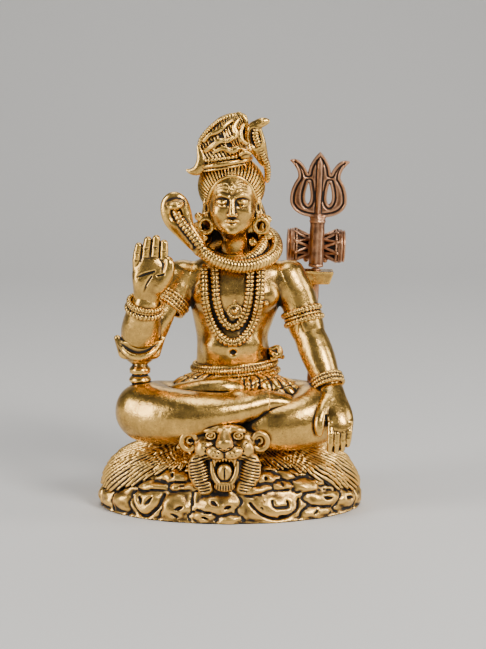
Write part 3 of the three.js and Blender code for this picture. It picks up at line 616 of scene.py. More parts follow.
def right_hand():
    clay = Clay((-30, -17, 60), (-14, -7, 83), 0.2)
    palm = [(-24.2, -10.9, 61.6, 3.2, 2.6), (-23.6, -11.6, 65, 3.6, 2.6), (-22.8, -12.0, 68.6, 4.7, 2.4)]
    clay.sculpt(limb(palm + [(-22.4, -12.1, 71.2, 5.0, 2.1)], 1.0, FRONT))
    clay.add(egg((-25.2, -13.2, 67.6), (2.0, 1.3, 3.6), (0, -12, 0)), k=0.9)
    clay.add(egg((-20.2, -13.4, 68.0), (2.0, 1.5, 3.4), (0, 18, 0)), k=0.9)
    clay.add(egg((-22.6, -12.7, 71.9), (4.7, 1.3, 1.2)), k=0.8)
    for radius, joints in (
        (1.36, [(-26.4, -12.3, 71.6), (-26.5, -12.5, 74.2), (-26.3, -12.5, 76.2), (-25.9, -12.4, 78.2)]),
        (1.42, [(-23.9, -12.3, 72.2), (-23.9, -12.6, 75.0), (-23.7, -12.6, 77.6), (-23.3, -12.5, 79.9)]),
        (1.42, [(-21.4, -12.3, 72.2), (-21.3, -12.6, 75.2), (-21.1, -12.6, 78.0), (-20.9, -12.5, 80.3)]),
        (1.36, [(-18.9, -12.3, 71.6), (-18.8, -12.6, 74.4), (-18.7, -12.6, 76.8), (-18.7, -12.5, 79.0)]),
    ):
        finger(clay, joints, radius, FRONT)
    thumb = [(-20.2, -12.8, 66.4, 1.9), (-18.0, -13.2, 69.6, 1.55), (-17.2, -13.4, 72.2, 1.25)]
    clay.sculpt(limb(thumb + [(-17.3, -13.2, 74.2, 1.0)], 0.8))
    clay.lay(
        [(-26.9, -14.6, 69.4, 0.3), (-24.4, -14.6, 70.3, 0.36), (-21.4, -14.6, 71.2, 0.3)], cut=True, k=0.25
    )
    clay.lay(
        [(-24.6, -15.0, 65.2, 0.34), (-23.6, -14.9, 67.6, 0.34), (-22.2, -14.8, 69.8, 0.26)], cut=True, k=0.25
    )
    clay.lay([(-20.6, -14.6, 69.9, 0.24), (-18.6, -14.6, 70.4, 0.26)], cut=True, k=0.2)
    cast("right_hand_open", clay, GOLD, ["right_hand"])


def left_hand():
    up = (0.2, -0.86, 0.46)
    clay = Clay((22, -23, 16), (38.4, -5, 39.4), 0.18)
    back = [
        (29.2, -9.0, 36.4, 3.3, 2.8), (29.5, -11.4, 34.0, 3.7, 2.7), (30.4, -14.6, 31.0, 4.2, 2.3),
        (31.5, -17.0, 28.2, 3.9, 1.8),
    ]
    clay.sculpt(limb(back, 1.0, up))
    for x, tip, length in ((28.8, 28.6, 8.0), (30.7, 30.4, 8.2), (32.6, 32.1, 7.6), (34.3, 33.6, 6.4)):
        joints = [(x, -18.2 + 0.12 * (x - 28), 28.2), (x * 0.6 + tip * 0.4, -19.6, 28.2 - length * 0.38)]
        joints += [(x * 0.3 + tip * 0.7, -19.9, 28.2 - length * 0.72), (tip, -19.3, 28.2 - length)]
        finger(clay, [(p[0], p[1] + 0.16 * (x - 28.8), p[2]) for p in joints], 1.12, up, 0.78, 0)
        clay.add(egg((x, -18.9 + 0.2 * (x - 28.8), 28.0), (0.85, 0.7, 0.8)), k=0.4)
    for x in (29.75, 31.65, 33.45):
        y = -19.8 + 0.2 * (x - 28.8)
        clay.cut(bar((x, y + 1.2, 29.4), (x - 0.3, y - 0.4, 20), 0.16, 0.3), k=0.3)
    thumb = [
        (27.8, -13.2, 33.4, 2.1), (26.3, -16.6, 30.8, 1.8), (25.5, -18.6, 28.2, 1.45),
        (25.6, -19.2, 25.4, 1.15),
    ]
    clay.sculpt(limb(thumb, 0.6))
    clay.cut(bar((27.4, -18.4, 30.2), (27.2, -19.6, 22), 0.35, 0.5), k=0.4)
    cast("left_hand_resting", clay, GOLD, ["left_hand"])


RIGHT_SHIN = [
    (-25, -7.6, 29.2, 8.0, 8.2), (-19, -12.6, 29.0, 7.2, 7.6), (-11, -15.6, 29.6, 6.8, 6.4),
    (-3, -15.9, 30.6, 6.0, 4.8), (4, -14.8, 31.8, 5.0, 3.6), (8.6, -13.8, 32.8, 4.2, 3.4),
]
RIGHT_FOOT = [(8.6, -13.8, 32.8, 4.0, 3.4), (13.4, -13.2, 33.2, 3.6, 2.5), (17.6, -12.4, 32.4, 3.4, 1.7)]
RIGHT_THIGH = [(-6, 7, 28.6, 8.4, 6.8), (-15, 0.6, 28.6, 9.2, 7.2), (-25, -7.6, 29.4, 7.8, 8.1)]
LEFT_THIGH = [(8, 7, 28.8, 8.4, 7.0), (16.6, 0.6, 28.8, 9.2, 7.6), (26, -7.6, 29.0, 7.4, 8.0)]
LEFT_SHIN = [
    (26, -7.8, 28.8, 7.2, 8.0), (20.4, -12.6, 27.0, 6.2, 7.2), (13, -15.2, 26.0, 4.6, 6.0),
    (5, -13.6, 25.4, 3.6, 4.4),
]


def right_leg():
    clay = Clay((-35, -25, 17), (14, 18, 42), 0.34)
    clay.sculpt(limb(RIGHT_THIGH, 2.0) + limb(RIGHT_SHIN, 2.0) + limb(RIGHT_FOOT, 1.5))
    clay.add(egg((-27.2, -9.4, 31.6), (4.6, 5.0, 4.6)), k=2.0)  # the kneecap
    clay.add(egg((2.8, -14.8, 34.9), (3.0, 2.4, 2.3), (0, 12, 0)), k=1.4)  # the ankle bone
    clay.keep(half((11.4, -13, 33), (1, 0, 0)))
    cast("right_leg_folded", clay, GOLD, ["right_leg"])


def left_leg():
    clay = Clay((-2, -25, 17), (36, 18, 42), 0.34)
    clay.sculpt(limb(LEFT_THIGH, 2.0) + limb(LEFT_SHIN, 2.0))
    clay.add(egg((28.0, -9.6, 31.0), (4.4, 4.8, 4.4)), k=2.0)
    clay.keep(half((-0.5, 0, 30), (-1, 0, 0)))
    cast("left_leg_folded", clay, GOLD, ["left_leg"])


def feet():
    clay = Clay((5, -19, 27), (25, -6, 40), 0.22)
    clay.sculpt(limb(RIGHT_SHIN[4:], 1.0) + limb(RIGHT_FOOT, 1.2))
    toes = [((16.9, -15.0, 31.5), (20.6, -14.6, 30.9), 0.95), ((17.2, -14.2, 32.7), (21.4, -13.6, 32.0), 0.9)]
    toes += [
        ((17.3, -13.2, 33.5), (21.3, -12.4, 32.9), 0.9), ((17.1, -12.0, 33.9), (20.9, -11.2, 33.4), 0.88)
    ]
    toes += [((16.8, -10.8, 34.0), (20.3, -9.9, 33.6), 0.84)]
    for a, b, r in toes:
        clay.add(bar(a, b, r, r * 0.9), k=0.15)
        tip = vec(*b) + vec(0.3, -0.3, 0.5)
        clay.add(egg(tip, (0.55, 0.5, 0.3)), k=0.1)
    clay.keep(half((11.0, -13, 33), (-1, 0, 0)))
    cast("right_foot_toes", clay, GOLD, ["right_foot"])
    clay = Clay((-24, -15.4, 29), (5.4, -3, 42), 0.22)
    sole = [
        (1.8, -9.0, 36.2, 2.6, 2.3), (-2.6, -9.8, 36.9, 2.9, 2.3), (-7.6, -10.2, 36.8, 2.6, 2.0),
        (-12.6, -10.4, 36.0, 2.5, 1.7),
    ]
    clay.sculpt(limb(sole + [(-16.4, -10.2, 35.2, 2.4, 1.4)], 1.2, (0, -0.55, 0.85)))
    for i in range(5):
        start = (-15.8, -12.2 + 1.0 * i, 34.0 + 0.62 * i)
        end = (-19.6 + 0.45 * abs(i - 3), -12.4 + 1.05 * i, 33.2 + 0.62 * i)
        clay.add(bar(start, end, 0.86, 0.8 + 0.05 * i), k=0.1)
    clay.lay([(0.6, -12.2, 35.8, 0.22), (-6, -12.9, 35.9, 0.25), (-13, -12.8, 34.9, 0.22)], k=0.4, cut=True)
    cast("left_foot_toes", clay, GOLD, ["left_foot"])

# ---- the mound -----------------------------------------------------------------------------------
BASE = (39.5, 26.0, 22.0)
ROUND = 205.0  # the distance round its foot
ROCK_WALL = 5.2  # how thick the hollow casting is
PELT_WALL = 1.7


def mound_field(clay, inset=0.0):
    """The distance to the mound's smooth body, less an inset, all over a block."""
    x, y, z = np.meshgrid(*clay.axes, indexing="ij", sparse=True)
    a, b, h = (size - inset for size in BASE)
    u, v = x / a, y / b
    wide = np.sqrt(u * u + v * v) + 1e-4
    power = 2.9 - 0.7 * np.maximum(0, -v / wide)
    q = (wide**power + (np.maximum(z, 0) / h) ** power) ** (1 / power)
    slope = np.sqrt(sum(g * g for g in np.gradient(q, clay.step))) + 1e-3
    return ((q - 1) / slope).astype(np.float32)


def mound_places(clay):
    """Each point's place round the mound, in mm from the middle of the front, and up its side."""
    x, y, z = np.meshgrid(*clay.axes, indexing="ij")
    turn = np.linspace(-np.pi / 2, 1.5 * np.pi, 721)
    rim = np.stack([BASE[0] * np.cos(turn), BASE[1] * np.sin(turn)])
    length = np.concatenate([[0], np.cumsum(np.hypot(*np.diff(rim)))])
    angle = np.mod(np.arctan2(y / BASE[1], x / BASE[0]) + np.pi / 2, 2 * np.pi)
    around = np.interp(angle, turn + np.pi / 2, length)
    around = np.where(around > length[-1] / 2, around - length[-1], around)
    rise = 27 * np.arctan2(np.maximum(z, 0) / BASE[2], np.hypot(x / BASE[0], y / BASE[1]))
    return around, rise, z


def lattice(u, v, seed):
    """Smooth noise from -1 to 1 with cells one unit across."""
    table = np.random.default_rng(seed).uniform(-1, 1, (64, 64))
    i, j = np.floor(u).astype(int), np.floor(v).astype(int)
    f, g = u - i, v - j
    f, g = f * f * (3 - 2 * f), g * g * (3 - 2 * g)
    i, j, i1, j1 = i % 64, j % 64, (i + 1) % 64, (j + 1) % 64
    low = table[i, j] * (1 - f) + table[i1, j] * f
    high = table[i, j1] * (1 - f) + table[i1, j1] * f
    return low * (1 - g) + high * g


class Relief:
    """A drawing of depths in mm on the unrolled side of the mound, or on any flat sheet."""

    def __init__(self, low, high, step=0.12):
        self.low, self.step = low, step
        s = np.arange(low[0], high[0] + step, step)
        z = np.arange(low[1], high[1] + step, step)
        self.s, self.z = np.meshgrid(s, z, indexing="ij")
        self.depth = np.zeros_like(self.s)

    def pit(self, s, z, long, wide, angle=0.0, depth=1.2):
        """An almond cut."""
        c, n = math.cos(math.radians(angle)), math.sin(math.radians(angle))
        u = ((self.s - s) * c + (self.z - z) * n) / long
        v = (-(self.s - s) * n + (self.z - z) * c) / wide
        inside = np.clip(1 - u * u, 0, 1) - np.abs(v)
        self.depth += depth * smoothstep(0, 0.55, inside)

    def stroke(self, points, width, depth):
        """A groove along a curve, or with a negative depth a ridge."""
        rows = spline(points, 8)
        near = np.full(self.s.shape, 99.0)
        for (a, b), (c, d) in zip(rows[:-1], rows[1:]):
            ab2 = (c - a) ** 2 + (d - b) ** 2 + 1e-9
            h = np.clip(((self.s - a) * (c - a) + (self.z - b) * (d - b)) / ab2, 0, 1)
            near = np.minimum(near, (self.s - a - h * (c - a)) ** 2 + (self.z - b - h * (d - b)) ** 2)
        self.depth += depth * np.exp(-near / width**2)

    def at(self, s, z):
        return between(
            self.depth, (s - self.low[0]) / self.step, (z - self.low[1]) / self.step
        ).astype(np.float32)


LOWER_STONES = [  # place round the front, height, half width, half height
    (-44, 3.6, 4.4, 2.6), (-35.6, 4.4, 4.0, 3.0), (-26.6, 4.6, 5.4, 4.0), (-17.4, 4.2, 4.4, 3.6),
    (-8.0, 1.8, 2.8, 1.6), (-4.4, 5.4, 6.0, 2.6), (-0.4, 1.4, 3.6, 1.2), (13.6, 3.8, 8.6, 3.6),
    (26.4, 1.8, 5.0, 1.6), (31.0, 5.4, 5.8, 2.0), (40.6, 4.2, 4.6, 2.4), (48, 3.4, 4.4, 2.6),
]
UPPER_STONES = [
    (-41, 8.6, 4.6, 1.7), (-32.6, 11.6, 4.6, 1.8), (-26, 9.4, 4.2, 1.3), (-20.4, 12.8, 4.8, 1.5),
    (-15.8, 10.2, 4.8, 1.1), (-9.6, 12.6, 3.0, 1.3), (8.4, 9.6, 4.6, 1.2), (12.4, 12.6, 4.2, 1.6),
    (17.6, 10.2, 3.2, 1.3), (22.2, 12.8, 3.6, 1.2), (25.6, 9.8, 3.8, 1.4), (31.6, 10.8, 3.2, 1.2),
    (37, 8.6, 3.6, 1.3), (-14, 14.8, 4.4, 0.9), (17, 14.8, 4.2, 0.9),
]

PITS = [  # place round the front, height, half length, half width, turn in degrees
    (-28.0, 5.6, 1.5, 0.75, -50), (-25.0, 5.6, 1.5, 0.75, 50), (-15.4, 4.2, 1.5, 0.6, 20),
    (-16.6, 2.0, 1.4, 0.55, -20), (-4.9, 6.0, 1.6, 0.7, -25), (-0.8, 4.8, 1.6, 0.65, 20),
    (-7.4, 1.8, 1.3, 0.5, -15), (15.6, 1.9, 1.7, 0.55, -10), (17.8, 5.4, 0.55, 1.2, 0),
    (9.4, 4.6, 0.8, 0.4, -30), (26.4, 2.2, 1.5, 0.5, 40), (31.4, 5.6, 2.0, 0.55, -8),
    (-33, 11.6, 1.5, 0.6, 15), (-20.4, 12.9, 1.4, 0.6, -30), (-16, 10.2, 2.2, 0.4, 12),
    (12.4, 12.4, 1.0, 0.7, 0), (17.6, 10.4, 1.2, 0.6, 50), (23, 12.6, 1.4, 0.5, -35),
    (31.6, 10.8, 1.2, 0.5, -50), (39.8, 4.4, 2.2, 0.7, -12),
]


def around_front(place):
    """A place round the mound, counted from the middle of the front to either side."""
    return (place + ROUND / 2) % ROUND - ROUND / 2


def stone_relief():
    """Boulders round the foot, thin leafy rocks above them, and the almond pits cut into both."""
    sheet = Relief((-ROUND / 2 - 1, -1), (ROUND / 2 + 1, 20))
    stones = list(LOWER_STONES) + list(UPPER_STONES)
    s = 53.0
    while s < ROUND - 53:
        half = RNG.uniform(3.2, 6.0)
        place = s + half
        stones.append((around_front(place), RNG.uniform(3, 4.6), half, RNG.uniform(2.2, 3.2)))
        for level in (9.2, 12.2):
            shift = RNG.uniform(-3, 3)
            stones.append((around_front(place + shift), level, RNG.uniform(2.6, 4.6), 1.4))
        s += 2 * half + 0.4
    first = np.full(sheet.s.shape, 9.0)
    second = first.copy()
    wander = 0.9 * lattice(sheet.s / 2.6, sheet.z / 2.0, 3)
    rise = 0.45 * lattice(sheet.s / 3.1, sheet.z / 2.2, 4)
    for at, up, wide, tall in stones:
        u, v = (sheet.s + wander - at) / wide, (sheet.z + rise - up) / tall
        far = (np.abs(u) ** 2.4 + np.abs(v) ** 2.4) ** (1 / 2.4)
        second = np.minimum(second, np.maximum(first, far))
        first = np.minimum(first, far)
    gap = smoothstep(0.0, 0.24, second - first)
    open_here = 0.55 + 0.45 * lattice(sheet.s / 3.4, sheet.z / 2.6, 7)
    sheet.depth += 1.2 * (1 - gap) * open_here + 1.2 * np.clip(first - 0.05, 0, 1) ** 2
    sheet.depth += 0.22 * lattice(
        sheet.s / 3.4, sheet.z / 1.6, 5
    ) + 0.1 * lattice(sheet.s / 1.3, sheet.z / 0.9, 6)
    # the shield
    sheet.stroke([(-31.4, 7.2), (-30.6, 4.4), (-26.6, 0.9), (-22.4, 3.8), (-21.4, 7.2)], 0.5, 1.3)
    sheet.stroke([(-29.6, 6.8), (-28.6, 4.6), (-26.6, 2.6), (-24.4, 4.4), (-23.4, 6.8)], 0.5, -0.5)
    for pit in PITS:
        sheet.pit(*pit)
    # the long boulder's smile
    sheet.stroke([(6.4, 5.6), (9.6, 2.6), (15, 1.2), (20.4, 3.2), (22, 6.2)], 0.44, 1.3)
    sheet.stroke([(13.0, 6.2), (13.4, 4.6), (17.4, 4.4)], 0.36, 1.0)
    for _ in range(46):
        at = RNG.uniform(44, ROUND - 44)
        sheet.pit(
            around_front(at), RNG.uniform(2, 12), RNG.uniform(0.9, 1.7), RNG.uniform(0.4, 0.7),
            RNG.uniform(-60, 60),
        )
    rim = 0.5 + 0.5 * smoothstep(0.2, 1.2, sheet.z)
    sheet.depth = 0.15 + np.clip(sheet.depth, -0.15, 2.4) * rim
    return sheet


def hem(around):
    """The height of the pelt's edge."""
    edge = 15.2 - 1.2 * smoothstep(12, 22, np.abs(around)) - 8.6 * smoothstep(20, 43, np.abs(around))
    for height, cell, row, seed in ((0.9, 1.7, 0.5, 8), (0.5, 0.6, 0.0, 9)):
        edge = edge + height * lattice(around / cell, np.full_like(around, row), seed)
    return edge


def fur_relief():
    """Combed strands that run down and out, gathered in overlapping locks."""
    sheet = Relief((-ROUND / 2 - 1, -1), (ROUND / 2 + 1, 44))
    sweep = 0.8 * sheet.z * np.sin(2 * np.pi * sheet.s / ROUND)
    s = sheet.s + 1.2 * lattice(sheet.s / 6, sheet.z / 7, 12) + sweep
    spacing = np.where(sheet.z > 29, ROUND / 46, ROUND / 92)
    strand = 0.5 - 0.5 * np.cos(2 * np.pi * s / spacing)
    fine = 0.5 - 0.5 * np.cos(4 * np.pi * s / spacing + 1.1)
    row_place = sheet.z / 8.4 + 0.4 * lattice(s / 3.6, sheet.z / 12, 14)
    row = np.floor(row_place)
    along = row_place - row  # 0 at the tip of a lock and 1 at its root
    across = np.abs(np.mod(s / 5.2 + 0.5 * row, 1) * 2 - 1)
    edge = smoothstep(0.16, 0.0, 1 - across) + smoothstep(0.25, 0.0, along + 0.3 * (across - 0.5)) * 0.7
    sheet.depth = 0.05 + 1.2 * strand**1.3 + 0.16 * fine + 0.16 * edge + 0.45 * along
    sheet.depth *= 0.95 + 0.3 * lattice(s / 2.9, sheet.z / 9, 15)
    return sheet


TANG_SOCKET = bar((23.36, 9.6, 15.0), (23.9, 9.6, 30), 1.6, 1.6)  # where the trident's foot stands


def mound_pieces():
    clay = Clay((-40.6, -27.2, -1.4), (40.6, 27.2, 23.4), grain(0.43))
    around, rise, z = mound_places(clay)
    body = mound_field(clay)
    edge = hem(around)
    under = smoothstep(-0.6, 0.6, z - edge)
    clay.d = body + stone_relief().at(around, z) * (1 - under) + PELT_WALL * under
    solid = clay.d.astype(np.float32)
    clay.d = np.maximum(clay.d, -mound_field(clay, ROCK_WALL))
    clay.keep(half((0, 0, 0), (0, 0, -1)))
    clay.cut(TANG_SOCKET)
    clay.d = clay.d.astype(np.float32)
    cast("rocks_carved", clay, MOUND, ["rock_base"], solid=solid)

    clay = Clay((-40.6, -27.2, 2.4), (40.6, 27.2, 28), grain(0.42))
    around, rise, z = mound_places(clay)
    body = mound_field(clay)
    clay.d = body.copy()
    clay.add(egg((0, -8.8, 23), (21.5, 10.2, 3.8)), k=3.0)
    clay.d += fur_relief().at(around, rise)
    solid = clay.d.astype(np.float32)
    clay.d = np.maximum(clay.d, -(body + PELT_WALL))
    clay.d = soft_max(clay.d, (hem(around) - z).astype(np.float32) * 0.8, 0.5).astype(np.float32)
    clay.cut(TANG_SOCKET)
    cast("tiger_pelt_fur", clay, MOUND, ["tiger_pelt"], solid=solid)


# ---- ropes and ribs ------------------------------------------------------------------------------
def arc(centre, across, up, wire, count, start=0, end=360):
    """Rows of a rope round a centre, from the tip of `across` (0 degrees) to the tip of `up` (90) and on."""
    turns = np.radians(np.linspace(start, end, count))
    c, u, v = vec(*centre), vec(*across), vec(*up)
    return [(*(c + u * math.cos(t) + v * math.sin(t)), wire) for t in turns]


def ring_route(centre, radius, start, end, wire, squash=1.0, count=10):
    """Points of an arc that faces the front."""
    return arc(centre, (radius, 0, 0), (0, 0, radius * squash), wire, count, start, end)


def combed(pitch, depth, sharp=0.7):
    """Relief with ribs across a rope."""
    return lambda along, face, side, total: depth * (np.abs(np.sin(np.pi * along / pitch)) ** sharp - 1)


# ---- the tiger's head ----------------------------------------------------------------------------
def tiger_head():
    m = -1.5
    clay = Clay((-15.4, -27.2, 7.4), (12.8, -10.5, 29.4), grain(0.2))
    clay.add(egg((m, -17.5, 21.0), (7.6, 5.4, 6.6)))
    clay.add(egg((m, -19.6, 14.4), (6.8, 4.0, 5.6)), k=1.6)
    for s in (-1, 1):
        clay.add(egg((m + s * 3.6, -21.4, 27.0), (2.7, 1.9, 1.1), (0, s * 14, 0)), k=0.8)
        clay.add(egg((m + s * 5.6, -20.8, 21.0), (3.0, 2.6, 3.2)), k=0.9)
    clay.add(egg((m, -21.2, 26.6), (3.0, 2.4, 1.9)), k=1.0)
    clay.add(bar((m, -22.8, 26.6), (m, -24.3, 23.6), 1.5, 2.5), k=0.8)
    clay.add(egg((m, -25.0, 22.9), (2.5, 1.0, 1.1)), k=0.3)
    for s in (-1, 1):
        clay.add(egg((m + s * 2.5, -24.1, 20.6), (2.8, 1.8, 1.9), (0, -s * 16, 0)), k=0.25)
        clay.cut(egg((m + s * 3.9, -23.1, 25.3), (1.5, 1.1, 1.0), (0, -s * 12, 0)), k=0.4)
        clay.add(egg((m + s * 3.9, -22.2, 25.3), (1.0, 0.8, 0.7)), k=0.1)
        clay.lay(ring_route((m + s * 3.9, -22.8, 25.3), 1.3, 0, 360, 0.24, 0.72, 16), k=0.2)
        clay.cut(egg((m + s * 1.25, -25.9, 22.3), (0.55, 0.5, 0.32)), k=0.15)
        for i, j in ((0.8, 0.5), (1.8, 0.8), (2.8, 0.6), (1.2, -0.4), (2.3, -0.3)):
            clay.cut(egg((m + s * (0.9 + i), -25.9 + 0.1 * i * i, 20.4 + j), (0.26, 0.5, 0.26)), k=0.1)
    clay.cut(bar((m, -25.8, 21.8), (m, -25.9, 19.0), 0.3, 0.38), k=0.2)
    # the open mouth, its teeth and its tongue
    clay.cut(egg((m, -24.6, 16.4), (3.7, 3.2, 2.4)), k=0.4)
    clay.cut(egg((m, -24.4, 14.4), (2.5, 3.0, 2.6)), k=0.4)
    clay.add(egg((m, -23.4, 14.4), (2.3, 1.8, 3.1), (14, 0, 0)), k=0.25)
    clay.cut(bar((m, -25.2, 16.4), (m, -24.9, 12.8), 0.24, 0.24), k=0.25)
    for s, reach in ((-3.0, 2.2), (-1.5, 0.9), (-0.5, 0.8), (0.5, 0.8), (1.5, 0.9), (3.0, 2.2)):
        clay.add(bar((m + s, -24.3, 19.0), (m + s * 0.92, -24.2, 19.0 - reach), 0.5, 0.18), k=0.08)
    jaw = [
        (m - 3.6, -23.4, 17.6, 0.5), (m - 3.2, -23.9, 14.6, 0.7), (m - 1.8, -24.4, 12.0, 0.8),
        (m, -24.6, 11.4, 0.9),
    ]
    jaw += [(m + 1.8, -24.4, 12.0, 0.8), (m + 3.2, -23.9, 14.6, 0.7), (m + 3.6, -23.4, 17.6, 0.5)]
    clay.lay(jaw, k=0.3)
    clay.add(egg((m, -23.6, 10.8), (3.0, 1.9, 1.6)), k=0.5)
    for i in np.arange(-2.6, 2.7, 0.74):
        clay.cut(
            bar((m + i, -25.8 + 0.12 * i * i, 12.0), (m + i * 1.08, -25.0 + 0.14 * i * i, 9.2), 0.22, 0.26),
            k=0.1,
        )
    # fan of short strokes on the forehead, whisker strokes on the cheeks
    for a in np.radians(np.arange(-60, 61, 20)):
        start = (m + 0.9 * math.sin(a), -23.6, 26.0 + 0.7 * math.cos(a))
        end = (m + 3.8 * math.sin(a), -20.6, 26.0 + 3.2 * math.cos(a))
        clay.cut(bar(start, end, 0.22, 0.3), k=0.12)
    for s in (-1, 1):
        for i in range(5):
            top = 23.2 - i * 1.1
            clay.cut(bar((m + s * 5.2, -23.4, top), (m + s * 8.0, -20.8, top - 0.8), 0.2, 0.26), k=0.12)
        # a leaf of combed fur below each cheek
        clay.add(egg((m + s * 7.2, -21.6, 14.4), (3.1, 2.3, 5.6), (0, s * 10, 0)), k=0.4)
        clay.add(egg((m + s * 5.4, -22.4, 10.2), (2.4, 1.6, 2.4), (0, s * 40, 0)), k=0.5)
        ribs = []
        for i in range(12):
            z = 19.2 - i * 0.9
            rib = [(m + s * (4.9 - 0.05 * i + 1.3 * j), z + 0.4 - 0.35 * j) for j in range(5)]
            ribs += [
                [(x, front_of(clay, x, z) + 0.05, z, 0.26) for x, z in rib if front_of(clay, x, z) < -17]
            ]
        for rib in ribs:
            if len(rib) > 1:
                clay.lay(rib, k=0.15, samples=2, cut=True)
        edge = [
            (m + s * 5.6, -23.4, 19.4, 0.3), (m + s * 4.7, -24.2, 16, 0.34), (m + s * 4.3, -24.5, 13, 0.34)
        ]
        clay.lay(edge + [(m + s * 3.4, -24.8, 10.4, 0.3)], k=0.2, cut=True)
        ear = (m + s * 10.1, -20.8, 23.2)
        clay.add(bar((m + s * 6, -19, 23.6), (ear[0] - s * 1.2, -19.4, 23.4), 2.6, 1.8), k=0.6)
        clay.cut(egg((ear[0], -21.2, ear[2]), (1.6, 1.5, 1.8)), k=0.3)
        start, end = (-130, 150) if s > 0 else (30, 310)
        clay.lay(ring_route(ear, 2.1, start, end, 0.78, 1.12, 14), k=0.2)
        clay.lay(
            ring_route((ear[0] - s * 0.2, -20.4, ear[2] + 0.2), 0.85, start + 40, end, 0.34, 1.1, 10), k=0.15
        )
    clay.cut(egg((m, -10, 15), (9, 4.4, 12)), k=0.5)
    cast("tiger_head_mask", clay, MOUND, ["tiger_head"])

# ---- head ----------------------------------------------------------------------------------------
MIDDLE = 0.65  # the middle of the face


def head():
    c = MIDDLE
    clay = Clay((-10.6, -11, 73.6), (12.4, 12.6, 103.4), grain(0.2))
    clay.sculpt(limb(NECK, 0.8))
    clay.add(egg((0.6, 1.8, 92.5), (7.3, 8.2, 9.4)), k=1.0)
    clay.add(egg((c, -1.4, 87.4), (6.6, 5.5, 7.8)), k=2.0)
    clay.add(egg((c, -2.3, 93.2), (6.3, 4.5, 4.4)), k=1.4)
    clay.add(egg((c, -3.9, 82.7), (3.3, 2.9, 2.6)), k=1.6)
    for s in (-1, 1):
        clay.add(egg((c + s * 3.3, -4.1, 87.0), (2.3, 1.95, 2.3)), k=1.3)
        brow = [
            (c + s * 5.0, -4.4, 91.1, 0.35), (c + s * 3.3, -6.2, 92.2, 0.5), (c + s * 1.2, -7.0, 91.6, 0.42)
        ]
        clay.lay(brow, k=0.6)
        clay.cut(egg((c + s * 2.8, -7.5, 90.0), (2.3, 1.5, 1.4)), k=0.8)
        x = c + s * 2.8
        clay.add(egg((x, -5.35, 89.9), (1.8, 1.4, 1.15), (0, 0, s * 10)), k=0.15)
        clay.add(egg((x, -5.45, 90.35), (2.0, 1.35, 0.85), (0, 0, s * 10)), k=0.1)  # the half-closed lid
        clay.lay([(x - 1.95, -5.5, 89.75, 0.2), (x, -6.9, 90.0, 0.24), (x + 1.95, -5.5, 89.75, 0.2)], k=0.15)
        clay.lay([(x - 1.8, -5.5, 89.4, 0.18), (x, -6.65, 88.9, 0.26), (x + 1.8, -5.5, 89.4, 0.18)], k=0.2)
    clay.add(bar((c, -6.5, 91.3), (c, -8.1, 87.3), 0.6, 0.9), k=0.6)
    clay.add(egg((c, -8.35, 86.8), (0.98, 0.85, 0.75)), k=0.3)
    for s in (-1, 1):
        clay.add(egg((c + s * 1.05, -7.6, 86.5), (0.6, 0.75, 0.58)), k=0.25)
        clay.cut(egg((c + s * 0.55, -8.3, 86.0), (0.28, 0.35, 0.2)), k=0.12)
    clay.cut(bar((c, -7.3, 85.8), (c, -7.3, 85.1), 0.2, 0.2), k=0.3)
    lip = [
        (c - 2.3, -5.8, 84.35, 0.22), (c - 0.8, -6.95, 84.8, 0.45), (c, -7.0, 84.65, 0.42),
        (c + 0.8, -6.95, 84.8, 0.45),
    ]
    clay.lay(lip + [(c + 2.3, -5.8, 84.35, 0.22)], k=0.3)
    clay.lay([(c - 2.0, -5.85, 84.1, 0.22), (c, -6.8, 83.45, 0.6), (c + 2.0, -5.85, 84.1, 0.22)], k=0.3)
    clay.lay(
        [(c - 2.3, -6.4, 84.35, 0.12), (c, -7.5, 84.12, 0.18), (c + 2.3, -6.4, 84.35, 0.12)], k=0.12, cut=True
    )
    clay.add(egg((c, -5.9, 81.7), (1.5, 1.2, 1.1)), k=0.9)
    for x, s in ((-6.6, -1), (7.9, 1)):
        clay.add(egg((x, -0.2, 88.2), (1.0, 1.5, 2.9)), k=0.4)
        clay.lay(
            [(x, -1.2, 86.2, 0.4), (x + s * 0.9, -0.6, 88.6, 0.45), (x + s * 0.5, -0.4, 90.8, 0.45)], k=0.2
        )
        clay.cut(egg((x + s * 0.4, -1.5, 88.0), (0.5, 0.7, 1.4)), k=0.25)
        clay.add(egg((x, -0.7, 85.2), (0.7, 0.8, 1.1)), k=0.3)

    def on_brow(points, radius):
        """A line drawn on the forehead."""
        clay.lay([(x, front_of(clay, x, z) + 0.02, z, radius) for x, z in points], k=0.12)

    for s in (-1, 1):
        on_brow([(c, 92.9), (c + s * 0.85, 94.2), (c, 95.7)], 0.26)
        for z in (93.3, 94.2, 95.1):
            on_brow([(c + s * 1.3, z), (c + s * 2.6, z + 0.25), (c + s * 4.2, z - 0.2)], 0.22)
    on_brow([(c, 93.7), (c, 94.8)], 0.32)
    clay.keep(half((0, 0, 74.5), (0, 0, -1)))
    cast("head_face", clay, GOLD, ["head"])


def fan(centre, towards, count, depth, sharp=0.7, twist=0.0):
    """Relief with strands that run from one pole to the other of an axis."""
    o, n = vec(*centre), unit(vec(*towards) - vec(*centre))
    u = unit(np.cross(n, (1, 0, 0)))
    w = np.cross(n, u)

    def press(x, y, z):
        px, py, pz = x - o[0], y - o[1], z - o[2]
        along = px * n[0] + py * n[1] + pz * n[2]
        sine, cosine = (px * v[0] + py * v[1] + pz * v[2] for v in (w, u))
        angle = np.arctan2(sine, cosine) + twist * along
        return depth * (1 - np.abs(np.sin(angle * count / 2)) ** sharp)

    return press


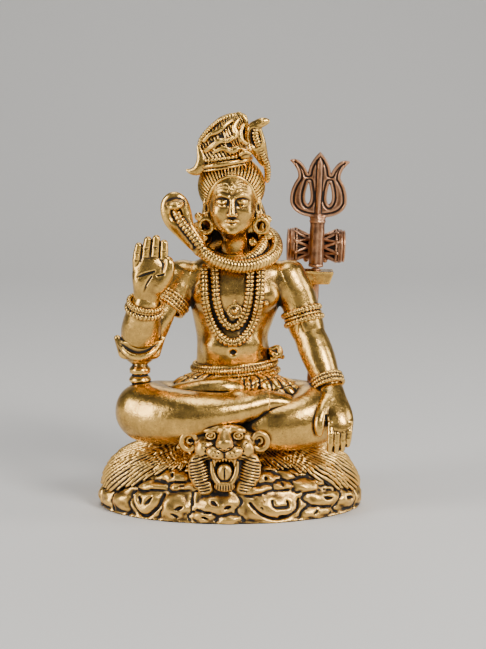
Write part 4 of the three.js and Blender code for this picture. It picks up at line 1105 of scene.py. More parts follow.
def hair_cap():
    clay = Clay((-10.8, -7.4, 83.6), (11.8, 13.4, 104.4), grain(0.2))
    clay.add(egg((0.4, 3, 94), (9.9, 9.2, 9.3)))
    clay.press_all(fan((0.65, -14, 84.5), (-0.6, 14, 101), 50, 1.15, 0.8))
    clay.cut(egg((0.65, -9.4, 87.9), (7.8, 11.6, 9.7)), k=0.25)
    clay.cut(egg((0.6, -1, 81.6), (9.8, 10.5, 6.6)), k=0.4)
    rim = []
    for a in np.radians(np.linspace(-12, 192, 18)):
        x, z = 0.65 + 7.2 * math.cos(a), 88.2 + 9.3 * math.sin(a)
        y = 3 - 9.2 * math.sqrt(max(0.02, 1 - ((x - 0.4) / 9.9) ** 2 - ((z - 94) / 9.3) ** 2)) + 0.2
        rim.append((x, y, z, 0.42))
    clay.lay(rim, k=0.12)
    cast("hair_combed", clay, GOLD, ["hair_cap"])


BACK_HAIR = [
    (64, 2, 10.4, 8, 2), (69, 1.9, 10.2, 10, 3.6), (76, 1.6, 9.2, 11, 4.4), (82, 1.2, 8.4, 10.2, 4.6),
    (88, 0.8, 8, 8.8, 4.4), (92, 0.6, 7.6, 6.4, 2.6),
]


def curl(clay, centre, radius, wire, turns=1.4, facing=1):
    """A snail curl that faces the front."""
    count = 14
    route = []
    for i in range(count):
        t = i / (count - 1)
        a, r = facing * turns * 2 * math.pi * t, radius * (1 - 0.8 * t)
        x, y, z = centre[0] + r * math.cos(a), centre[1] - 0.3 * t, centre[2] + r * math.sin(a)
        route.append((x, y, z, wire * (1 - 0.3 * t)))
    clay.lay(route, k=0.1, samples=3)


def back_hair():
    clay = Clay((-12.4, -3.4, 63), (15.4, 15.4, 93.4), grain(0.26))
    clay.add(tower(BACK_HAIR))
    for s, x in ((-1, -7.6), (1, 9.4)):
        clay.add(egg((x, 3.6, 80.6), (2.2, 3.6, 5.4), (0, s * 6, 0)), k=1.5)

    def strands(x, y, z):
        angle = np.arctan2(y - 4, x - 1.4)
        wave = 0.35 * np.sin(z / 1.5 + 3 * angle)
        fall = 0.5 + 0.35 * smoothstep(0.5, 1, np.mod(z / 5.2 + 0.25 * np.sin(9 * angle), 1))
        return fall * (1 - np.abs(np.sin(angle * 17 + wave)) ** 0.8)

    clay.press_all(strands)
    for x, z, r, way in (
        (-4.6, 78.6, 1.5, 1), (-8.0, 79.4, 1.5, -1), (-9.6, 82.4, 1.4, 1), (-9.2, 85.4, 1.2, -1)
    ):
        clay.add(egg((x, 0.4, z), (r, 1.3, r)), k=0.6)
        curl(clay, (x, -1.2, z), r * 0.8, 0.42, facing=way)
    for x, z, r, way in ((6.6, 78.0, 1.3, -1), (11.0, 79.6, 1.3, 1), (10.8, 84.6, 1.2, -1)):
        clay.add(egg((x, 0.8, z), (r, 1.3, r)), k=0.6)
        curl(clay, (x, -0.8, z), r * 0.8, 0.4, facing=way)
    cast("hair_behind", clay, GOLD, ["back_hair"])


TOPKNOT = [
    (99, -1, 3.4, 7.6, 7.2), (104, -2.3, 3.4, 7.2, 6.8), (108, -1.7, 3.4, 6.6, 6.0),
    (111.4, -0.4, 3.4, 5.5, 4.8), (113.8, 0.9, 3.2, 4.2, 3.4), (115.2, 1.9, 3, 2.3, 1.8),
]


def strand_rope(count, depth):
    """Relief with strands along a rope."""
    return lambda along, face, side, total: depth * (
        np.abs(np.sin(np.arctan2(side, face) * count / 2 + 0.4 * along)) ** 0.8 - 1
    )


def topknot():
    clay = Clay((-11.4, -6.2, 98), (8.4, 12.4, 116.4), grain(0.2))
    clay.add(tower(TOPKNOT))
    clay.press_all(fan((-1.5, 3.4, 98), (1.0, 3.2, 116), 34, 0.5, 0.8, twist=0.12))
    for place, size in (
        ((-5.4, -2.6, 107.2), 1.5), ((-2.4, -2.9, 108.9), 1.2), ((1.4, -1.8, 111.0), 1.2),
        ((0.2, -3.0, 106.2), 1.1), ((3.8, -1.4, 108.4), 1.0),
    ):
        clay.cut(egg(place, (size * 0.9, 1.2, size * 0.7), (0, 25, 0)), k=0.5)
    ropes = [
        [
            (-6.9, -1.6, 104.6, 0.9), (-5.2, -3.0, 105.8, 0.9), (-3.0, -3.6, 107.4, 0.8),
            (-0.4, -3.2, 107.6, 0.8), (1.6, -2.4, 109.2, 0.8), (1.2, -1.6, 111.6, 0.7),
            (2.6, -0.4, 113.6, 0.5),
        ],
        [
            (-7.4, -1.2, 107.4, 0.7), (-5.6, -1.9, 109.2, 0.75), (-3.2, -2.3, 110.2, 0.7),
            (-1.4, -2.0, 111.8, 0.65), (0.6, -0.8, 113.2, 0.5),
        ],
        [
            (4.4, -2.2, 104.6, 0.8), (2.4, -3.6, 105.2, 0.9), (0.4, -4.0, 104.6, 0.8),
            (-1.8, -4.0, 105.4, 0.8), (-4.2, -3.4, 104.6, 0.7),
        ],
        [(4.6, -1.2, 106.6, 0.7), (3.2, -2.2, 107.8, 0.8), (3.0, -1.6, 110.2, 0.75), (4.0, -0.6, 112.0, 0.5)],
    ]
    for rope in ropes:
        clay.lay(rope, strand_rope(5, 0.22), k=0.4, flat=0.8)
    rim = [
        (-8.9, 0.6, 105.4, 0.8), (-8.2, 0.4, 107.8, 0.85), (-6.4, 0.2, 110.2, 0.8), (-3.8, 0.2, 112.6, 0.75),
        (-0.6, 0.6, 114.2, 0.7), (2.4, 1.4, 115.0, 0.6),
    ]
    clay.lay(rim, combed(0.9, 0.3, 0.6), k=0.2)
    clay.lay(
        [
            (2.8, 1.2, 115.0, 0.6), (4.4, 1.0, 113.4, 0.65), (4.9, 0.8, 110.4, 0.7), (5.2, 0.2, 107.4, 0.7),
            (5.6, -0.4, 104.8, 0.7),
        ],
        k=0.2,
    )
    cast("hair_topknot", clay, GOLD, ["topknot"])


def topknot_band():
    clay = Clay((-11.2, -6.8, 97.6), (8.4, 13.2, 106), grain(0.18))

    def turn(z, grow, radius, lean):
        return ellipse_route(z, (-1.6, 3.4), (7.4 + grow, 7.2 + grow), radius, (lean, 0), 29)

    clay.lay(turn(100.9, 0.25, 0.8, 0.16), k=0.1, samples=3)
    clay.lay(turn(102.5, 0.1, 0.62, 0.14), combed(1.15, 0.3, 0.6), k=0.08, samples=3)
    clay.lay(turn(99.7, 0.3, 0.34, 0.16), k=0.08, samples=3)
    clay.add(egg((4.4, -3.4, 103.4), (1.6, 1.2, 1.2), (0, -20, 0)), k=0.3)
    clay.lay([(3.0, -4.4, 103.6, 0.55), (4.4, -4.6, 104.4, 0.6), (5.8, -3.4, 103.8, 0.55)], k=0.15)
    cast("topknot_band_cord", clay, GOLD, ["topknot_band"])


def crescent_moon():
    clay = Clay((-14.2, -3.4, 96.4), (-5.6, 2.8, 107.6), 0.18)
    arc = [
        (-12.5, -0.6, 98.9, 0.3), (-11.2, -0.8, 98.5, 0.9), (-9.4, -1.0, 98.9, 1.5), (-8.2, -1.0, 100.6, 1.75)
    ]
    arc += [(-8.2, -0.8, 102.8, 1.35), (-8.8, -0.6, 104.6, 0.8), (-9.3, -0.4, 106.0, 0.28)]
    clay.lay(arc, k=0.1, flat=0.62, samples=8)
    cast("crescent_horns", clay, GOLD, ["crescent_moon"])


def hair_cobra():
    clay = Clay((3.4, -2.6, 93.6), (13.4, 7.4, 114.6), grain(0.17))
    body = [
        (10.8, 4.0, 95.4, 0.9), (10.9, 3.4, 98.4, 1.05), (10.3, 3.0, 101.2, 1.15), (9.0, 2.4, 104.0, 1.3),
        (7.8, 1.8, 106.4, 1.5),
    ]
    clay.lay(body, combed(0.75, 0.22), k=0.1)
    hood = [
        (9.8, 2.4, 101, 1.4), (8.8, 1.6, 103.6, 2.1), (7.6, 0.6, 106.4, 2.8), (6.9, 0.2, 109.0, 2.7),
        (7.1, 0.2, 110.9, 2.0), (8.0, 0.2, 112.0, 1.4),
    ]
    clay.lay(hood, k=0.4, flat=0.55)
    clay.lay(
        [(7.6, 0.1, 111.8, 1.3), (9.0, 0.0, 112.5, 1.4), (10.1, 0.0, 112.8, 1.1), (10.7, 0.0, 112.9, 0.8)],
        k=0.4, flat=0.8,
    )
    clay.cut(bar((9.2, -1.1, 112.1), (11.8, -0.8, 112.5), 0.18, 0.22), k=0.15)
    clay.add(egg((9.3, -0.9, 113.0), (0.4, 0.35, 0.35)), k=0.08)
    clay.cut(egg((7.3, -1.0, 108.0), (1.9, 1.1, 3.2), (0, -12, 0)), k=0.5)
    belly = [
        (10.4, 1.8, 100.6, 0.8), (9.2, 0.8, 103.6, 0.95), (8.0, -0.2, 106.4, 1.05), (7.3, -0.5, 109.0, 1.0),
        (7.6, -0.5, 111.2, 0.7),
    ]
    clay.lay(belly, combed(0.85, 0.4, 0.5), k=0.12, flat=0.7)
    cast("hair_cobra_rearing", clay, GOLD, ["hair_cobra"])


def earrings():
    for side, x in (("right", -7.1), ("left", 9.0)):
        clay = Clay((x - 3.4, -3.6, 79.2), (x + 3.4, 2.6, 86.6), 0.14)
        clay.lay(ring_route((x, -1.0, 82.8), 1.95, 0, 360, 0.74, 1.05, 22), combed(1.6, 0.08), k=0.1)
        clay.add(egg((x, -0.9, 85.2), (0.7, 0.7, 0.7)), k=0.2)
        cast(f"{side}_ear_hoop", clay, GOLD, [f"{side}_earring"])


SNAKE_ROUTE = [
    (-8.4, -5, 76.2, 2.05), (-4, -6.9, 73.4, 2.05), (2.6, -7.4, 71.8, 2.05), (9, -5.6, 72.6, 2.05),
    (13, -1.2, 75, 2.05), (12.8, 4.6, 78.4, 2.05), (9, 9.6, 80.4, 2.05), (2.4, 11.2, 80.6, 2.05),
    (-4.6, 10.2, 79.6, 2.05), (-8.6, 6, 78, 2.05), (-8.8, 1.0, 77.0, 2.0), (-6.0, -4.2, 74.8, 1.9),
    (-0.2, -6.0, 72.6, 1.9), (5.4, -5.2, 73.6, 1.8), (9.2, -2.0, 76.8, 1.6), (10.0, 3.4, 81.6, 1.1),
    (9.4, 6.4, 84.0, 0.8),
]


def snake_skin(along, face, side, total):
    """Fine ribs over the back, the snake's belly smooth."""
    back = smoothstep(-0.7, -0.1, face + 0.35 * np.abs(side))
    ribs = np.abs(np.sin(np.pi * (along + 0.5 * np.abs(side)) / 0.9)) ** 0.7 - 1
    return 0.22 * ribs * back


def neck_cobra():
    clay = Clay((-21.4, -11.4, 67.6), (16.8, 14.6, 93), grain(0.22))
    clay.lay(SNAKE_ROUTE[9:], snake_skin, k=0.2, samples=5)
    clay.lay(SNAKE_ROUTE[:10], snake_skin, k=0.2, samples=5)
    hood = [
        (-8.2, -4.8, 76.2, 2.1), (-10.8, -4.6, 79.0, 2.5), (-13.4, -4.0, 82.4, 3.2), (-15.2, -3.4, 85.8, 4.3),
        (-15.9, -3.2, 88.4, 4.2), (-16.0, -3.2, 90.0, 2.9),
    ]
    clay.lay(hood, k=0.6, flat=0.4, samples=8)
    clay.cut(egg((-15.6, -6.4, 86.6), (3.0, 2.4, 3.2), (0, -14, 0)), k=0.7)
    belly = [
        (-6.8, -6.6, 75.2, 1.2), (-8.9, -6.5, 78.0, 1.3), (-11.2, -6.2, 81.0, 1.35), (-13.8, -5.6, 84.2, 1.3),
        (-15.6, -4.9, 87.2, 1.2),
    ]
    clay.lay(belly, combed(1.15, 0.55, 0.5), k=0.15, flat=0.75)
    clay.add(egg((-15.7, -5.6, 89.5), (2.7, 3.0, 1.25), (16, -6, 0)), k=0.4)  # the head, seen from in front
    clay.cut(bar((-17.8, -7.4, 88.9), (-13.2, -7.2, 89.2), 0.2, 0.2), k=0.2)
    clay.lay([(-17.4, -6.8, 89.9, 0.3), (-15.8, -7.9, 90.0, 0.34), (-13.6, -6.6, 90.0, 0.3)], k=0.2)
    for x in (-16.9, -14.2):
        clay.add(egg((x, -6.6, 90.1), (0.42, 0.42, 0.36)), k=0.12)
    cast("neck_cobra_coils", clay, GOLD, ["neck_cobra"])

# ---- ornaments -----------------------------------------------------------------------------------
def ellipse_route(z, centre, radii, radius, tilt=(0.0, 0.0), count=33):
    """A level loop, tilted by so much height for each mm along x and y."""
    (rx, ry), (tx, ty) = radii, tilt
    return arc((*centre, z), (rx, 0, tx * rx), (0, ry, ty * ry), radius, count)


def beads(pitch, depth):
    """Relief with two rows of small square beads."""

    def raise_by(along, face, side, total):
        rows = np.exp(-((side / 0.2) ** 2))
        gaps = 1 - np.abs(np.sin(np.pi * along / pitch)) ** 0.6
        return -depth * np.maximum(gaps, 0.75 * rows)

    return raise_by


def waist():
    clay = Clay((-14, -8.6, 37), (18, 15.8, 45), grain(0.2))
    lean = (0.075, 0.04)
    clay.lay(ellipse_route(42.2, (1.2, 3.7), (11.9, 8.5), 0.62, lean), combed(0.8, 0.15), k=0.1, samples=3)
    clay.lay(
        ellipse_route(41.0, (1.2, 3.7), (12.2, 8.8), 0.98, lean), combed(0.85, 0.34, 0.6), k=0.1, samples=3
    )
    clay.lay(ellipse_route(39.7, (1.2, 3.7), (12.3, 8.9), 0.5, lean), combed(0.7, 0.12), k=0.1, samples=3)
    cast("waist_belt_ribbed", clay, GOLD, ["waist_belt"])
    clay = Clay((-14.6, -9, 34.6), (18, 16.4, 41.4), grain(0.2))
    clay.lay(
        ellipse_route(38.5, (1.3, 3.9), (13.0, 9.5), 0.72, lean), combed(0.95, 0.32, 0.6), k=0.1, samples=3
    )
    cast("waist_cord_beaded", clay, GOLD, ["waist_cord"])
    clay = Clay((9.4, -3.6, 41.4), (17, 5.4, 49), 0.2)
    clay.add(egg((13.2, 1, 45), (2.0, 2.6, 2.0)))
    for route in (
        [(12.4, -1.6, 43.6, 0.8), (14.6, -1.4, 45.2, 0.9), (14.0, -0.8, 47.0, 0.8), (12.0, -0.4, 46.4, 0.7)],
        [(12.0, -0.8, 45.4, 0.7), (13.4, -1.7, 44.8, 0.8), (15.4, -0.4, 44.0, 0.7)],
    ):
        clay.lay(route, strand_rope(5, 0.15), k=0.15)
    cast("sash_knot_tied", clay, GOLD, ["sash_knot"])


HIPS = [
    (22.4, 0.8, 4.6, 12.5, 9.4), (28, 0.9, 4.6, 17.2, 11.2), (33, 1.1, 4.4, 16.2, 10.9),
    (36.4, 1.3, 4, 14.0, 9.9), (39.4, 1.4, 3.8, 12.0, 8.6),
]


def loincloth():
    clay = Clay((-20, -13, 21.8), (24, 17.4, 41.4), grain(0.3))
    clay.add(tower(HIPS))
    clay.add(egg((-10.6, -2.2, 36.4), (7.6, 6.4, 3.4), (0, -14, 0)), k=1.2)
    clay.add(egg((14.4, -4.6, 35.4), (9.4, 6.4, 3.7), (0, 18, 0)), k=1.2)
    clay.add(egg((4.4, -6.2, 36.2), (6.4, 3.4, 2.6)), k=1.0)

    def pleats(x, y, z):
        angle = np.arctan2(y - 6, x - 1.3)
        steps = np.abs(np.sin(angle * 23 + 0.5 * np.sin(z * 0.9))) ** 0.7
        tiers = smoothstep(0.82, 1.0, np.mod((np.hypot(x - 1.3, y - 6) + (40 - z)) / 6.2, 1))
        return 0.9 * (1 - steps) + 0.45 * tiers

    clay.press_all(pleats)
    clay.cut(egg((0.9, 4.6, 22), (2.6, 2.6, 8)))
    cast("loincloth_pleated", clay, GOLD, ["loincloth"])


def around(stations, t, spread, radius, count=25):
    """A loop round a limb at a place along it, counted in stations, and shifted along it by `spread`."""
    rows = spline([s if len(s) == 5 else (*s, s[3]) for s in stations], 20)
    i = int(np.clip(round(t * 20), 1, len(rows) - 2))
    tangent = unit(rows[i + 1][:3] - rows[i - 1][:3])
    u = unit(np.cross(tangent, (0.3, 1, 0.2)))
    w = np.cross(tangent, u)
    centre, reach = rows[i][:3] + tangent * spread, rows[i][3] + 0.95
    return arc(centre, reach * u, reach * w, radius, count)


def bands(name, node, stations, t, loops):
    """Bands round a limb: rows of shift along it, rope radius, and the pitch and depth of its beads."""
    centre = spline([s[:4] for s in stations], 20)[int(t * 20)]
    reach = centre[3] + 4.2
    clay = Clay(centre[:3] - reach, centre[:3] + reach, grain(0.17))
    for spread, radius, pitch, depth in loops:
        relief = beads(pitch, depth) if depth > 0.3 else combed(pitch, depth)
        clay.lay(around(stations, t, spread, radius), relief, k=0.06, samples=4)
    cast(name, clay, GOLD, [node])


def jewellery():
    armlet = [(-1.7, 0.5, 0.8, 0.1), (-0.5, 0.85, 1.1, 0.34), (0.75, 0.62, 0.9, 0.2), (1.7, 0.5, 0.8, 0.1)]
    bands("right_armlet_beaded", "right_armlet", RIGHT_UPPER_ARM, 1.1, armlet)
    armlet = [(-1.5, 0.95, 1.1, 0.34), (0, 0.45, 0.8, 0.1), (1.35, 0.9, 1.1, 0.34)]
    bands("left_armlet_beaded", "left_armlet", LEFT_UPPER_ARM, 1.95, armlet)
    bracelet = [(-0.9, 0.95, 1.0, 0.3), (0.45, 0.5, 0.7, 0.16), (1.3, 0.72, 0.9, 0.26)]
    bands("right_bracelet_beaded", "right_bracelet", RIGHT_FOREARM, 2.6, bracelet)
    bracelet = [(-1.1, 0.6, 0.8, 0.18), (0, 0.72, 0.9, 0.22), (1.2, 0.66, 0.8, 0.18)]
    bands("left_bracelet_ribbed", "left_bracelet", LEFT_FOREARM, 2.45, bracelet)


def malas():
    chest = skin((-12, -9, 44), (15, 2, 74), 0.4)
    for name, node, x0, x1, bottom, radius in (
        ("mala_inner_beads", "inner_mala", -4.4, 5.9, 53.6, 1.25),
        ("mala_outer_beads", "outer_mala", -7.6, 8.9, 49.3, 1.42),
    ):
        clay = Clay((-11, -11.4, 46), (13, -2.4, 72.6), grain(0.17))
        route = []
        for t in np.linspace(0, 1, 19):
            a = math.pi * t
            x = (x0 + x1) / 2 - (x1 - x0) / 2 * math.cos(a) * (1 - 0.1 * math.sin(a))
            z = 71 - (71 - bottom) * math.sin(a) ** 0.62
            route.append((x, front_of(chest, x, min(z, 68)) - 0.7, z, radius))
        clay.lay(route, beads(1.2, 0.44), k=0.05, samples=4, flat=0.85)
        cast(name, clay, GOLD, [node])
    clay = Clay((-2.6, -9, 54.6), (5.2, -3, 62), 0.17)
    y = front_of(chest, 1.4, 58.4)
    clay.add(egg((1.4, y, 58.4), (1.9, 0.9, 1.7)))
    clay.lay(ring_route((1.4, y - 0.3, 58.4), 2.0, 0, 360, 0.42, 0.9, 17), combed(0.8, 0.2), k=0.1)
    clay.add(egg((1.4, y - 0.8, 58.4), (0.8, 0.6, 0.7)), k=0.1)
    clay.lay([(1.4, y - 0.2, 60.2, 0.5), (1.4, y - 0.2, 61.6, 0.4)], k=0.15)
    cast("pendant_jewel", clay, GOLD, ["pendant"])


TURNED_CELL = 0.08  # the grids, in mm, on which outlines become distances
PLATE_CELL = 0.1
TABLE_MARGIN = 2.5


def turned(profile, centre, flatten=1.0, lie=False):
    """A turned shape from a profile of radius and height, from axis to axis. `lie` lays its axis along x."""
    p = np.array(profile, float)
    reach, low, high = p[:, 0].max(), p[:, 1].min(), p[:, 1].max()
    r = np.arange(0, reach + TABLE_MARGIN, TURNED_CELL)
    h = np.arange(low - TABLE_MARGIN, high + TABLE_MARGIN, TURNED_CELL)
    edges = [(a, b, a[0] > 1e-6 or b[0] > 1e-6) for a, b in zip(p, np.roll(p, -1, axis=0))]
    table = outline_distance(edges, *np.meshgrid(r, h, indexing="ij"))

    def distance(x, y, z):
        x, y, z = x - centre[0], (y - centre[1]) / flatten, z - centre[2]
        across, up = (np.sqrt(y * y + z * z), x) if lie else (np.sqrt(x * x + y * y), z)
        across, up = np.broadcast_arrays(across, up)
        return between(table, across / TURNED_CELL, (up - h[0]) / TURNED_CELL)

    c = vec(*centre)
    if lie:
        return Shape(distance, c + vec(low, -reach, -reach), c + vec(high, reach, reach))
    return Shape(distance, c + vec(-reach, -reach * flatten, low), c + vec(reach, reach * flatten, high))


def armrest():
    foot = (-26.2, -6.4, 36.4)
    post = [
        (0, -2), (3, -2), (3.3, -0.2), (2.5, 0.5), (2.5, 1.0), (3.2, 1.5), (3.3, 2.2), (3.1, 2.8), (2.4, 3.3),
        (2.4, 3.7), (3.1, 4.2), (3.2, 5.0), (3, 5.7), (2.3, 6.2), (2.3, 7.0), (0, 7.0),
    ]
    clay = Clay((-30.6, -10.8, 33.8), (-21.8, -2, 44.6), 0.2)
    clay.add(turned(post, foot))
    clay.press_all(lambda x, y, z: 0.12 * np.abs(np.sin(z * 3.1)))
    cast("armrest_post_turned", clay, GOLD, ["armrest_post"])
    clay = Clay((-34.2, -12.8, 42), (-18.4, 0, 52.6), 0.2)
    cup = [(0, 6.6), (2.3, 6.6), (3.8, 7.8), (5.6, 10.2), (6.7, 13.8), (5.4, 14.2), (3.4, 11.2), (0, 9.6)]
    clay.add(turned(cup, foot, 0.82))
    for s in (-1, 1):
        tip = (foot[0] + s * 6.5, foot[1] - 0.4, 50.7)
        clay.add(bar((foot[0] + s * 4.0, foot[1] - 2.0, 47.2), tip, 2.4, 0.95, 0.8, FRONT), k=0.9)
    lip = [(-6.2, -1.2, 50.0, 0.5), (-4.6, -3.6, 48.0, 0.8), (-2.6, -4.9, 46.6, 0.95), (0, -5.4, 46.0, 1.0)]
    lip += [(2.6, -4.9, 46.6, 0.95), (4.6, -3.6, 48.0, 0.8), (6.2, -1.2, 50.0, 0.5)]
    clay.lay([(foot[0] + x, foot[1] + y, z, r) for x, y, z, r in lip], k=0.35)
    clay.add(egg((foot[0], foot[1] - 0.8, 46.8), (5.6, 4.2, 2.4)), k=0.6)
    for shape, _ in limb([(*s[:3], s[3] - 0.3) for s in RIGHT_FOREARM]):
        clay.cut(shape, k=0.3)
    cast("armrest_cup_flared", clay, GOLD, ["armrest_cup"])


# ---- trident and drum ----------------------------------------------------------------------------
LEAN = math.radians(2)
TRIDENT_FOOT = vec(25.3, 9.6, 69.4)


def trident_to_world(points):
    c, s = math.cos(LEAN), math.sin(LEAN)
    x, y, z = points.T
    return np.stack([c * x + s * z, y, -s * x + c * z], axis=1) + TRIDENT_FOOT


ON_TRIDENT = ("trident", trident_to_world)


def bezier(points, count=10):
    """Points of a chain of quadratic curves: a start, then control and end in turn."""
    out = [points[0]]
    for i in range(1, len(points) - 1, 2):
        a, b, c = (vec(*points[j]) for j in (i - 1, i, i + 1))
        for t in np.arange(1, count + 1) / count:
            out.append(tuple(a * (1 - t) ** 2 + 2 * b * t * (1 - t) + c * t * t))
    return out


def plate(loops, thickness, centre_y, outline):
    """A flat piece cut to closed outlines in x and z, outer first. outline(d, x, z) gives its relief."""
    edges = [(a, b, True) for loop in loops for a, b in zip(loop, loop[1:] + loop[:1])]
    every = np.array([p for loop in loops for p in loop])
    low, high = every.min(0) - TABLE_MARGIN, every.max(0) + TABLE_MARGIN
    grid = np.meshgrid(*(np.arange(a, b, PLATE_CELL) for a, b in zip(low, high)), indexing="ij")
    table = outline_distance(edges, *grid)
    relief = outline(table, *grid)

    def distance(x, y, z):
        x, y, z = np.broadcast_arrays(x, y, z)
        at = (x - low[0]) / PLATE_CELL, (z - low[1]) / PLATE_CELL
        flat = np.abs(y - centre_y) - thickness / 2 - between(relief, *at)
        return soft_max(between(table, *at), flat, 0.5)

    return Shape(distance, (low[0], centre_y - thickness, low[1]), (high[0], centre_y + thickness, high[1]))


def trident_head():
    foot, rise, tip = 14.7, 19.4, 8.9
    bowl, waist_x = tip * 0.94, tip * 0.7

    def side(s):
        return [
            (s * bowl * 0.85, foot), (s * bowl, foot + 0.22 * rise),
            (s * bowl * 1.04, foot + 0.42 * rise), (s * waist_x, foot + 0.6 * rise),
            (s * waist_x * 0.96, foot + 0.72 * rise), (s * tip, foot + 0.86 * rise),
            (s * waist_x * 0.92, foot + 0.94 * rise), (s * waist_x * 0.54, foot + 0.67 * rise),
            (s * waist_x * 0.5, foot + 0.84 * rise), (0, foot + rise),
        ]

    right = bezier([(0, foot)] + side(1))
    left = bezier([(0, foot)] + side(-1))
    outer = right + left[-2:0:-1]
    holes = []
    for s in (-1, 1):
        x = s * bowl * 0.37
        top, low, belly = (x, foot + rise * 0.53), (x, foot + rise * 0.2), foot + rise * 0.26
        holes.append(bezier([top, (x + s * 1.7, belly), low, (x - s * 1.4, belly), top])[:-1])

    def relief(d, x, z):
        border = -0.5 * np.exp(-(((d + 1.05) / 0.34) ** 2))
        spear = 0.5 * np.exp(-((x / np.clip(1.0 - np.abs(z - foot - 12) / 16, 0.35, 1)) ** 2))
        veins = -0.3 * np.exp(-((np.abs(np.abs(x) - 0.95) / 0.22) ** 2)) * (z < foot + 17)
        prong = -0.35 * np.exp(
            -(((np.abs(x) - 6.9 - 0.1 * (z - foot - 12)) / 0.3) ** 2)
        ) * smoothstep(foot + 10, foot + 12, z)
        return border + spear + veins + prong

    clay = Clay((-10.4, -2.6, 13.2), (10.4, 2.6, 35.6), grain(0.17))
    clay.add(plate([outer] + holes, 2.3, 0.0, relief))
    clay.add(bar((0, 0, 14.4), (0, 0, 16.4), 2.3, 1.2), k=0.8)
    cast("trident_head_leafed", clay, RED, ["trident_head"], *ON_TRIDENT)


def trident_shaft():
    clay = Clay((-3.4, -3.4, -1.2), (3.4, 3.4, 16), 0.2)
    clay.add(turned([(0, 0), (2.2, 0), (2.2, 14.3), (0, 14.3)], (0, 0, 0)))
    clay.press_all(lambda x, y, z: 0.05 * np.sin(z * 1.7) + 0.04 * np.sin(9 * np.arctan2(y, x)) + 0.03)
    clay.lay(ellipse_route(0.5, (0, 0), (2.0, 2.0), 0.3), k=0.15)
    clay.lay(ellipse_route(13.6, (0, 0), (2.05, 2.05), 0.4), k=0.15)
    cast("trident_shaft_thick", clay, RED, ["trident_shaft"], *ON_TRIDENT)
    clay = Clay((-2.2, -2.2, -56), (2.2, 2.2, 1), 0.22)
    clay.add(turned([(0, -54.6), (1.0, -54.6), (1.28, -54.0), (1.28, -0.3), (0, -0.3)], (0, 0, 0)))
    clay.press_all(lambda x, y, z: 0.03 * np.sin(z * 2.3) + 0.03 * np.sin(5 * np.arctan2(y, x) + z) + 0.05)
    cast("trident_tang_thin", clay, RED, ["trident_tang"], *ON_TRIDENT)


def drum():
    centre = (0, 4.9, 5.8)
    profile = [
        (0, -7.9), (4.7, -7.9), (5.0, -7.6), (5.0, -6.5), (4.4, -6.2), (3.8, -5.0), (2.8, -2.4), (2.3, -0.8)
    ]
    profile += [(2.3, 0.8), (2.8, 2.4), (3.8, 5.0), (4.4, 6.2), (5.0, 6.5), (5.0, 7.6), (4.7, 7.9), (0, 7.9)]
    clay = Clay((-9.4, -1.6, -0.6), (9.4, 11.4, 12.2), grain(0.18))
    clay.add(turned(profile, centre, lie=True))
    for s in (-1, 1):
        for i in range(9):
            a = 2 * math.pi * i / 9
            for turn in (-0.35, 0.35):
                start = (s * 6.2, centre[1] + 4.75 * math.cos(a), centre[2] + 4.75 * math.sin(a))
                end = (s * 2.0, centre[1] + 3.1 * math.cos(a + turn), centre[2] + 3.1 * math.sin(a + turn))
                clay.add(bar(start, end, 0.5, 0.36), k=0.1)
        for x, r in ((5.9, 4.75), (2.1, 3.0)):
            loop = arc((s * x, *centre[1:]), (0, r, 0), (0, 0, r), 0.36, 25)
            clay.lay(loop, combed(0.8, 0.14), k=0.1, samples=3)
        clay.cut(egg((s * 8.3, centre[1], centre[2]), (0.9, 4.2, 4.2)), k=0.2)
    clay.cut(turned([(0, -1), (2.24, -1), (2.24, 16), (0, 16)], (0, 0, 0)))
    cast("drum_body_laced", clay, RED, ["drum_body"], *ON_TRIDENT)
    for s, side in ((-1, "right"), (1, "left")):
        clay = Clay((min(s * 7, s * 9.6), -0.6, 0), (max(s * 7, s * 9.6), 10.4, 11.6), 0.2)
        face = [(0, -0.3), (4.5, -0.3), (4.9, 0), (4.7, 0.35), (3.2, 0.5), (0, 0.62)]
        if s < 0:
            face = [(r, -h) for r, h in face]
        clay.add(turned(face, (s * 8.25, centre[1], centre[2]), lie=True))
        cast(f"drum_skin_{side}_taut", clay, RED, [f"drum_skin_{side}"], *ON_TRIDENT)
    clay = Clay((-5, -0.6, -0.4), (5, 9.6, 9.6), 0.18)
    for x in (-0.7, 0.0, 0.7):
        loop = arc((x, *centre[1:]), (0, 2.55, 0), (0, 0, 2.55), 0.4, 25)
        clay.lay(loop, combed(0.7, 0.12), k=0.1, samples=3)
    for s in (-1, 1):
        clay.lay(
            [
                (0, centre[1], 3.2, 0.36), (s * 1.4, centre[1] - 0.6, 2.2, 0.36),
                (s * 2.6, centre[1] - 0.9, 1.9, 0.36),
            ],
            combed(0.6, 0.1), k=0.12,
        )
        clay.add(egg((s * 2.8, centre[1] - 0.9, 1.7), (0.85, 0.85, 0.95)), k=0.15)
    clay.cut(turned([(0, -1), (2.26, -1), (2.26, 16), (0, 16)], (0, 0, 0)))
    cast("drum_cord_tied", clay, RED, ["drum_cord"], *ON_TRIDENT)


